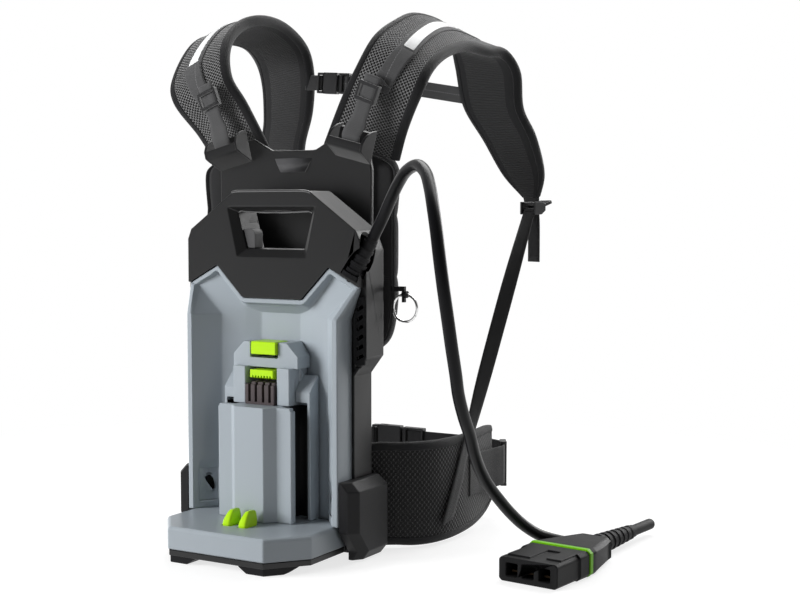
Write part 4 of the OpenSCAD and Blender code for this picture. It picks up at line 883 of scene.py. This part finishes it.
class Band:
    """A padded band with strips and patches that lie on it. Each ring is its station's
    centre, plus the half width vector times the section's first number, plus the normal
    times its second number and the thickness."""

    def __init__(self, rows, section, thick, mirror=False):
        rows, s = np.asarray(rows, float), np.asarray(section)
        c, w, h = rows[:, :3], rows[:, 3:6], rows[:, 6:7] * thick
        t = unit(np.concatenate([c[1:2] - c[0:1], c[2:] - c[:-2], c[-1:] - c[-2:-1]]))
        n = unit(np.cross(t, w))
        self.g = W(c[:, None] + w[:, None] * s[None, :, :1] + n[:, None] * s[None, :, 1:] * h[:, None])
        self.share, self.side = s[:, 0], s[:, 1]
        self.arc = run_to(c) / 1000
        self.width = np.linalg.norm(w, axis=1) / 1000
        self.uv = np.stack([np.repeat(self.arc[:, None], len(s), 1),
                            self.width[:, None] * s[None, :, 0]], -1)
        if mirror:
            self.g[..., 0] *= -1

    def build(self, name, mats, pick, pressure, cap, seams):
        """Makes the band's mesh, blows it up between its seams, and rounds it off."""
        ob = grid_object(name, self.g, self.uv, mats, pick)
        n, m = self.g.shape[:2]
        held = np.flatnonzero(seams(*np.mgrid[0:n, 0:m]))
        inflate(ob, pressure, cap, np.concatenate([held, [n * m, n * m + 1]]))
        self.g = coords(ob.data)[:n * m].reshape(n, m, 3)
        along = np.gradient(self.g, axis=0)
        round_it = np.roll(self.g, -1, 1) - np.roll(self.g, 1, 1)
        self.n = unit(np.cross(along, round_it))
        if ((self.g - self.g.mean(1, keepdims=True)) * self.n).sum() < 0:
            self.n = -self.n
        modifier(ob, "SUBSURF", levels=1, render_levels=1)
        return ob

    def at(self, i, j):
        """Points and normals at rings i and section places j, both fractions, as the
        weighted mean of the four corners round each."""
        m, j = self.g.shape[1], np.asarray(j, float)
        i = np.clip(np.asarray(i, float), 0, len(self.g) - 1.001)
        a, b = np.floor(i).astype(int), np.floor(j).astype(int)
        fi, fj = (i - a)[..., None], (j - b)[..., None]
        place, up = ((f[a, b % m] * (1 - fj) + f[a, (b + 1) % m] * fj) * (1 - fi)
                     + (f[a + 1, b % m] * (1 - fj) + f[a + 1, (b + 1) % m] * fj) * fi
                     for f in (self.g, self.n))
        return place, unit(up)

    def across(self, v):
        """Section place of a share v of the half width on the outer face."""
        places = np.arange(int(np.argmin(self.share)), len(self.share) + 1)
        return np.interp(v, self.share[places % len(self.share)], places)

    def ring(self, arc):
        """Ring, as a fraction, at a length in mm along the band."""
        return np.interp(arc / 1000, self.arc, np.arange(len(self.arc)))

    def patch(self, name, arc0, arc1, low, high, mat, lift=0.9, thick=1.2, n=(40, 10)):
        """A flat piece on the band from arc0 to arc1 in mm; low and high give its sides, in
        shares of the half width, from how far along it is."""
        arc = np.linspace(arc0, arc1, n[0])[:, None]
        k = (arc - arc0) / (arc1 - arc0)
        v = low(k) + (high(k) - low(k)) * np.linspace(0, 1, n[1])
        i = self.ring(arc)
        place, up = self.at(i + 0 * v, self.across(v))
        uv = np.stack([arc / 1000 + 0 * v, v * self.width[i.astype(int)]], -1)
        return slab(name, place + up * lift / 1000, up, uv, mat, thick)

    def edge(self, name, share, lift=0.9, thick=1.4):
        """The binding that wraps each long edge, beyond that share of the half width."""
        for sign, tail in ((1, "_a"), (-1, "_b")):
            js = np.flatnonzero(self.share * sign > share)
            if js[0] == 0:
                js = np.roll(js, -1 - int(np.argmax(np.diff(js) > 1)))
            up = self.n[:, js]
            g = self.g[:, js] + up * lift / 1000
            uv = np.stack(np.broadcast_arrays(self.arc[:, None], run_to(g[len(g) // 2])[None]), -1)
            slab(name + tail, g, up, uv, binding, thick)


def strap_route(splay, out, up, flat, near):
    """Stations of a strap: centre, half width vector, share of the thickness. Splay and out
    move it sideways, up lifts it, flat tilts its crown and near draws its end forward."""
    return [
        (85, 171, 460, 45, 9, -10, 0.7), (106 + out * 0.3, 165, 503, 40, 6, -18, 0.9),
        (128 + out * 0.7, 160, 540, 43, 0, -15, 1), (138 + splay + out, 181, 574 + up * 0.2, 41, -3, -20, 1),
        (142 + splay * 2 + out * 0.8, 223, 603 + up, 38, -2, flat - 21, 1),
        (142 + splay * 2 + out * 0.5, 270, 615 + up, 37, 5, flat - 21, 1),
        (147 + splay * 2, 319, 612 + up, 37, 3, flat - 20, 1),
        (152 + splay - near * 0.6, 359 - near, 597 + up * 0.4, 40, -1, -9, 1),
        (155 - near * 0.7, 373 - near, 568, 43, 3, -6, 1),
        (160 - near * 0.8, 380 - near, 522, 40, 2, -3, 1),
        (176 - near * 0.6, 392 - near, 483, 35, 1, 1, 0.95),
        (182, 407 - near * 0.2, 439, 27, 1, 1, 0.8), (190, 412, 410, 12, -4.4, 0, 0.5)]


def padded_band(name, band, mats, pick, seam_share, cad_node):
    """A strap or a wing: pinned at its two ends and beyond that share of its half width."""
    ob = band.build(name, mats, pick, 3.0, 0.004, lambda i, j: (
        np.abs(band.share[j]) > seam_share) | (i < 2) | (i > len(band.g) - 3))
    put(ob, "carrier", (cad_node,))


section = dense_section(CUSHION, 16)
straps = {}
for side, shape, mirror in (("left", (4, 11, 11, 9, 0), True), ("right", (-3, 0, -9, 0, 7), False)):
    band = straps[side] = Band(catmull(strap_route(*shape), 10), section, 15, mirror)
    padded_band("Strap_" + side, band, [mesh_outer, inner_ribs, inner_plain],
                lambda i, j, band=band: np.where(band.side[j] < -0.02, 0, np.where(
                    np.abs(band.share[j]) < 0.62, 1, 2)), 0.84, "shoulder_strap_" + side)
    band.edge("Strap_binding_" + side, 0.77, thick=1.8)
    band.patch("Strap_tape_" + side, 126, 430, lambda k: -0.16 - 0.3 * np.minimum(1, k * 2.4),
               lambda k: 0.42 - 0.26 * np.minimum(1, k * 2.4), webbing_grey,
               lift=1.3, n=(80, 10))
    band.patch("Strap_reflector_" + side, 136, 262, lambda k: -0.04 - 0.3 * k, lambda k: 0.30 - 0.34 * k,
               reflective, lift=2.0, thick=0.8)
    band.patch("Strap_flap_" + side, 78, 132, lambda k: -0.34 + 0.18 * k, lambda k: 0.22 + 0.20 * k,
               webbing_grey, lift=3.0, thick=2.6)

# ---- back pad ------------------------------------------------------------------------
# Thick foam pad under spacer mesh, quilted by a seam down its middle and two
# across. It is bound along its sides and sewn to the harness plate.
mesh_pad = spacer_mesh("mesh_pad", (0.055, 0.055, 0.057), (0.006, 0.006, 0.006), pitch=0.0048)
PAD = [(1, 0), (0.97, 0.28), (0.88, 0.5), (0.66, 0.63), (0.4, 0.65), (0.2, 0.6), (0.1, 0.42),
       (-0.1, 0.42), (-0.2, 0.6), (-0.4, 0.65), (-0.66, 0.63), (-0.88, 0.5), (-0.97, 0.28), (-1, 0),
       (-0.97, -0.2), (-0.9, -0.34), (0.9, -0.34), (0.97, -0.2)]
# Height, share of the half width, and share of the thickness
PAD_ROWS = [(227, 0.5, 0.3), (230, 0.72, 0.6), (240, 0.88, 0.85), (256, 0.96, 0.97), (290, 1, 1),
            (308, 1, 0.98), (318, 1, 0.84), (328, 1, 0.98), (360, 1, 1), (378, 1, 0.98), (388, 1, 0.84),
            (398, 1, 0.98), (428, 1.02, 1), (444, 1.0, 0.95), (454, 0.92, 0.7), (460, 0.78, 0.4)]
PAD_HALF, PAD_SEAMS = 127, (0.318, 0.388)
pad = Band(catmull([(0, 163.6 + 13.6 * h, z, PAD_HALF * x, 0, 0, h) for z, x, h in PAD_ROWS], 4),
           dense_section(PAD, 22), 40)


def pad_seams(i, j):
    """Points of the sides, of the middle seam, of the inner face, of both ends and of the
    two seams across."""
    z, v = pad.g[i, j, 2], np.abs(pad.share[j])
    across = np.minimum(*(np.abs(z - s) for s in PAD_SEAMS)) < 0.003
    return (v > 0.93) | (v < 0.06) | (pad.side[j] < 0) | (z > 0.47) | (z < 0.231) | across


ob = pad.build("Back_pad", [mesh_pad, inner_plain], lambda i, j: np.where(
    (pad.side[j] > 0.1) & (np.abs(pad.share[j]) < 0.9), 0, 1), 4.0, 0.006, pad_seams)
put(ob, "carrier", ("back_pad",))
pad.edge("Pad_binding", 0.955, lift=1.2, thick=1.6)

# ---- waist wings -----------------------------------------------------------------------
# Foam wings that wrap the wearer's hips, with open mesh outside and finer mesh
# inside, bound along both edges and screwed under the back pad.
mesh_belt = spacer_mesh("mesh_belt", (0.12, 0.12, 0.122), (0.002, 0.002, 0.002), pitch=0.0054,
                        radius=0.33)
# x, y, lower edge, upper edge, share of the thickness
WING = [
    (14, 160, 12, 112, 0.5), (50, 161, 9, 116, 0.7), (80, 165, 6, 120, 0.8), (104, 175.5, 4, 124, 0.8),
    (122, 186, 4, 124, 0.9), (139, 199, 3, 124, 1), (152, 219, 3, 124, 1), (160, 248, 4, 124, 1),
    (162, 284, 6, 124, 1), (159.5, 318, 9, 124, 0.95), (156, 350, 16, 124, 0.8), (155, 368, 26, 122, 0.5)]
for side, mirror in (("left", True), ("right", False)):
    rows = catmull([(x, y, (lo + hi) / 2, 0, 0, -(hi - lo) / 2, h) for x, y, lo, hi, h in WING], 9)
    wing = Band(rows, section, 14, mirror)
    padded_band("Wing_" + side, wing, [mesh_belt, mesh_pad], lambda i, j, wing=wing: np.where(
        wing.side[j] < -0.02, 0, 1), 0.88, "belt_wing_" + side)
    wing.edge("Wing_binding_" + side, 0.80)


# ---- lifter webbing and slides ------------------------------------------------------------
# Woven webbing runs from the flap on each strap through a moulded slide to the
# anchor's bar. The slide moves along it and sets how high the strap sits.
lifter_grey = plastic("lifter_grey", (0.020, 0.020, 0.021), rough=0.42, grain=0.2, edge_highlight=0.4, specular=0.5)
webbing_plain = woven("webbing_plain", (0.085, 0.085, 0.087))
# Section of a webbing: share of its half width, and share of its thickness
WEB = [(1, 0), (0.99, 0.3), (0.95, 0.5), (0.5, 0.52), (0, 0.52), (-0.5, 0.52), (-0.95, 0.5), (-0.99, 0.3),
       (-1, 0), (-0.99, -0.3), (-0.95, -0.5), (-0.5, -0.52), (0, -0.52), (0.5, -0.52), (0.95, -0.5),
       (0.99, -0.3)]


def webbing(name, rows, mat, cad_node=None, mirror=False, thick=2.0, steps=5):
    """The flat section carried along smooth stations of centre and half width vector."""
    band = Band(catmull([(*r, 1) for r in rows], steps), WEB, thick, mirror)
    ob = grid_object(name, band.g, band.uv, [mat])
    return put(ob, "carrier", (cad_node,)) if cad_node else put(ob, "carrier")


def lifter_rows(band):
    """Down the flap on the strap, off it to the slide, and straight to the anchor's bar."""
    rows = []
    for arc, share, lift in ((112, 0.06, 1.6), (98, 0.0, 1.8), (86, -0.05, 2.6)):
        p, q = band.at(band.ring(arc), band.across(share))
        p = (p + q * lift / 1000) * 1000 + [0, MIDDLE_Y, 0]
        rows.append((abs(p[0]), p[1], p[2], 11.0, 0, -4.3))
    return rows + [(118.6, 143.4, 544, 10, 0, -3.9), (115.8, 142, 537, 9.3, 0, -3.6),
                   (108.4, 142, 518.2, 9.3, 0, -3.6),
                   (101, 142, 499.5, 9.3, 0, -3.6), (97.6, 141.4, 491.2, 11.4, 0, -3.8),
                   (94, 139, 484, 12, 0, -3.4),
                   (91.5, 138, 478, 11.6, 0, -3), (90.6, 139, 473, 11.4, 0, -2.8),
                   (90, 140, 469, 11, 0, -2.8)]


for side, mirror in (("left", True), ("right", False)):
    bevelled("lifter_buckle_" + side, lifter_grey, 0.8, "lifter_buckle_" + side)
    webbing("Lifter_webbing_" + side, lifter_rows(straps[side]), webbing_plain, "lifter_webbing_" + side,
            mirror)

# ---- strap ends and adjusters ---------------------------------------------------------------
# Each strap ends in a sewn webbing tongue that holds a moulded frame. A tilting
# lever in it grips the lower webbing, which runs down to the waist belt.
webbing_dark = woven("webbing_dark", (0.035, 0.035, 0.036))
buckle_black = plastic("buckle_black", (0.016, 0.016, 0.017), rough=0.4, grain=0.2, edge_highlight=0.5, specular=0.5)
bevelled("adjuster_frames", buckle_black, 0.6)
STRAP_END = [(186.6, 409.3, 426, 15, -3, 0.5), (189.4, 411.6, 409, 12.5, -4.4, 0),
             (190, 411.6, 399.3, 11.4, -4.2, 0)]
ADJUSTER = [
    (165.2, 233, 26, 1, 12, 2), (167.9, 252, 66, 1, 11, 1), (168.8, 270, 106, 0, 10, 0.5),
    (170.2, 284, 132, 2, 9.5, 0), (175, 312, 196, 7, 6, 0), (183, 360, 300, 9.7, 1, 0),
    (188, 402, 381, 9.4, -3.4, 0), (188.8, 407.8, 391, 9.4, -3.4, 0),
    (189.1, 408.6, 393.6, 9.4, -3.4, 0), (190, 411, 395.2, 9.4, -3.4, 0), (190.9, 413.4, 393.6, 9.4, -3.4, 0),
    (191.2, 414.2, 391, 9.4, -3.4, 0), (191.6, 415.4, 372, 9.4, -3.4, 0), (191.4, 416, 328, 9.4, -3.4, 0)]
for side, mirror in (("left", True), ("right", False)):
    webbing("Strap_end_" + side, STRAP_END, webbing_dark, mirror=mirror, thick=3.0)
    bevelled("adjuster_lever_" + side, buckle_black, 0.7, "adjuster_lever_" + side)
    webbing("Adjuster_webbing_" + side, ADJUSTER, webbing_dark, "adjuster_webbing_" + side, mirror, steps=4)

# ---- sternum webbing and buckle ---------------------------------------------------------------
# Webbing 20 mm wide across the chest, sewn to both straps and joined by a side
# release buckle in two moulded halves. Its right length hangs down a little.
bevelled("sternum_buckle_female", lifter_grey, 0.9)
bevelled("sternum_buckle_male", lifter_grey, 0.6, "sternum_buckle_male")
STERNUM_TILT, STERNUM_HALF, SAG = math.radians(3.87), 10, 0.11
for side, x0, x1, mat in (("left", -122, -96, webbing_dark), ("right", -66, 122, webbing_grey)):
    webbing("Sternum_webbing_" + side, [
        (x * math.cos(STERNUM_TILT), 366, 555.5 - x * math.sin(STERNUM_TILT) - max(0.0, x - 20) * SAG,
         STERNUM_HALF * math.sin(STERNUM_TILT), 0, STERNUM_HALF * math.cos(STERNUM_TILT))
        for x in np.linspace(x0, x1, 8)], mat, "sternum_webbing_" + side, steps=2)

# ---- waist webbing and buckle ---------------------------------------------------------------
# Webbing 50 mm wide from the wings round to a side release buckle in two moulded
# halves. A slide on each side takes up what is left over.
webbing_black = woven("webbing_black", (0.016, 0.016, 0.017))
bevelled("belt_adjusters", buckle_black, 0.8)
bevelled("belt_buckle_female", buckle_black, 1.2)
bevelled("belt_buckle_male", buckle_black, 0.9, "belt_buckle_male")
BELT_Z, BELT_HALF = 72, 25
BELT = [(167.2, 286), (166.6, 300), (165.8, 318), (167, 345), (169.5, 366), (169, 378), (156, 400.5),
        (140, 410), (116, 417), (94, 420), (84, 420)]
for side, mirror, tip in (("left", True, 44), ("right", False, -1)):
    webbing("Belt_webbing_" + side, [(x, y, BELT_Z, 0, 0, BELT_HALF) for x, y in BELT + [(tip, 420)]],
            webbing_black, "belt_webbing_" + side, mirror)

# ---- ring ------------------------------------------------------------------------------
# A split ring of plated steel wire hangs in a rubber tab that is sewn to the
# harness. It swings to both sides.
ring_metal = metal("ring_metal", (0.80, 0.80, 0.80), 0.14, (1, 1, 1))
dress("d_ring_tab", rubber)
dress("d_ring", ring_metal)


# ---- floor ---------------------------------------------------------------------------
# A pale studio floor that falls off to white past the carrier. Mirrored and
# direct rays see it lit evenly, and other rays see matt grey paint.
def studio_floor():
    """Matt pale paint with an even glow, and pure white from 0.95 m outwards."""
    m = bpy.data.materials.new("floor_white")
    m.use_nodes = True
    t = m.node_tree
    t.nodes.clear()
    ray = node(t, "LightPath").outputs
    seen = math_node(t, "MAXIMUM", ray["Is Camera Ray"], math_node(t, "MAXIMUM", ray["Is Glossy Ray"],
                                                                  ray["Is Transmission Ray"]))
    place = node(t, "TexCoord").outputs["Object"]
    away = span(t, node(t, "VectorMath", {"operation": "LENGTH"}, i0=place).outputs["Value"], 0.42, 0.95)
    cloud = node(t, "TexNoise", Vector=place, Scale=3.0, Detail=2.0).outputs[0]
    diffuse = node(t, "BsdfDiffuse", Color=mix(t, cloud, (0.34, 0.34, 0.34), (0.36, 0.36, 0.36)))
    glow = node(t, "Emission", Color=(1, 1, 1, 1), Strength=math_node(t, "MULTIPLY", seen, 0.74))
    near = node(t, "AddShader", i0=diffuse.outputs[0], i1=glow.outputs[0])
    far = node(t, "Emission", Color=(1, 1, 1, 1), Strength=math_node(t, "MULTIPLY", seen, 1.0))
    white = node(t, "MixShader", i0=math_node(t, "MULTIPLY", away, seen), i1=near.outputs[0],
                 i2=far.outputs[0])
    t.links.new(white.outputs[0], node(t, "OutputMaterial").inputs[0])
    return m


bpy.ops.mesh.primitive_plane_add(size=30, location=(0, 0, -0.0002))
floor = bpy.context.object
floor.name = "Floor"
floor.data.materials.append(studio_floor())

# ---- world -----------------------------------------------------------------------------
# White behind the carrier and dim in front of it, where reflections come from,
# with an even glow for the shadows.
GLOW, SEEN_WHITE, DIM, BRIGHT = 0.14, 0.86, 0.10, 0.62
world = bpy.data.worlds.new("World")
scene.world = world
world.use_nodes = True
t = world.node_tree
ray = node(t, "LightPath").outputs
seen = math_node(t, "MAXIMUM", ray["Is Camera Ray"], ray["Is Transmission Ray"])
ahead = node(t, "SeparateXYZ", i0=node(t, "TexCoord").outputs["Generated"]).outputs
behind = span(t, ahead[1], -0.2, 0.35, DIM, BRIGHT)
gloss = math_node(t, "MULTIPLY", ray["Is Glossy Ray"], math_node(t, "SUBTRACT", behind, GLOW))
strength = math_node(t, "ADD", math_node(t, "MULTIPLY", seen, SEEN_WHITE), gloss)
t.nodes["Background"].inputs["Color"].default_value = (1, 1, 1, 1)
t.links.new(math_node(t, "ADD", strength, GLOW), t.nodes["Background"].inputs["Strength"])


# ---- lamps -----------------------------------------------------------------------------
# A soft lamp low on the left and a weak one on the right, both hidden from
# reflections; a wide one above the back and one low behind draw the edges.
def area(name, place, target, size, energy, gloss=True):
    """A rectangular lamp at a place, aimed at a target."""
    data = bpy.data.lights.new(name, "AREA")
    data.shape, data.size, data.size_y, data.energy = "RECTANGLE", size[0], size[1], energy
    ob = bpy.data.objects.new(name, data)
    scene.collection.objects.link(ob)
    ob.location = place
    ob.rotation_mode = "QUATERNION"
    ob.rotation_quaternion = (Vector(target) - Vector(place)).to_track_quat("-Z", "Y")
    ob.visible_glossy = gloss


area("Key", (-1.75, -1.65, 0.85), (0, -0.05, 0.25), (1.2, 1.2), 84, False)
area("Top", (0.0, 1.15, 2.0), (0, 0, 0.45), (2.6, 1.0), 44)
area("Rim", (0.7, 2.2, 0.9), (0, 0, 0.3), (0.9, 1.2), 26)
area("Fill", (2.0, -0.9, 0.8), (0, 0, 0.2), (1.0, 1.0), 4.5, False)
# The cloth behind the handle would darken the case's polished edges
BEHIND_HANDLE = ("Hard_harness_plate", "Back_pad", "Pad_binding", "Strap_", "Lifter_", "Hard_lifter",
                 "Plate_ramp")
for ob in bpy.data.objects:
    if ob.name.startswith(BEHIND_HANDLE):
        ob.visible_glossy = False

scene.view_settings.view_transform = "Standard"
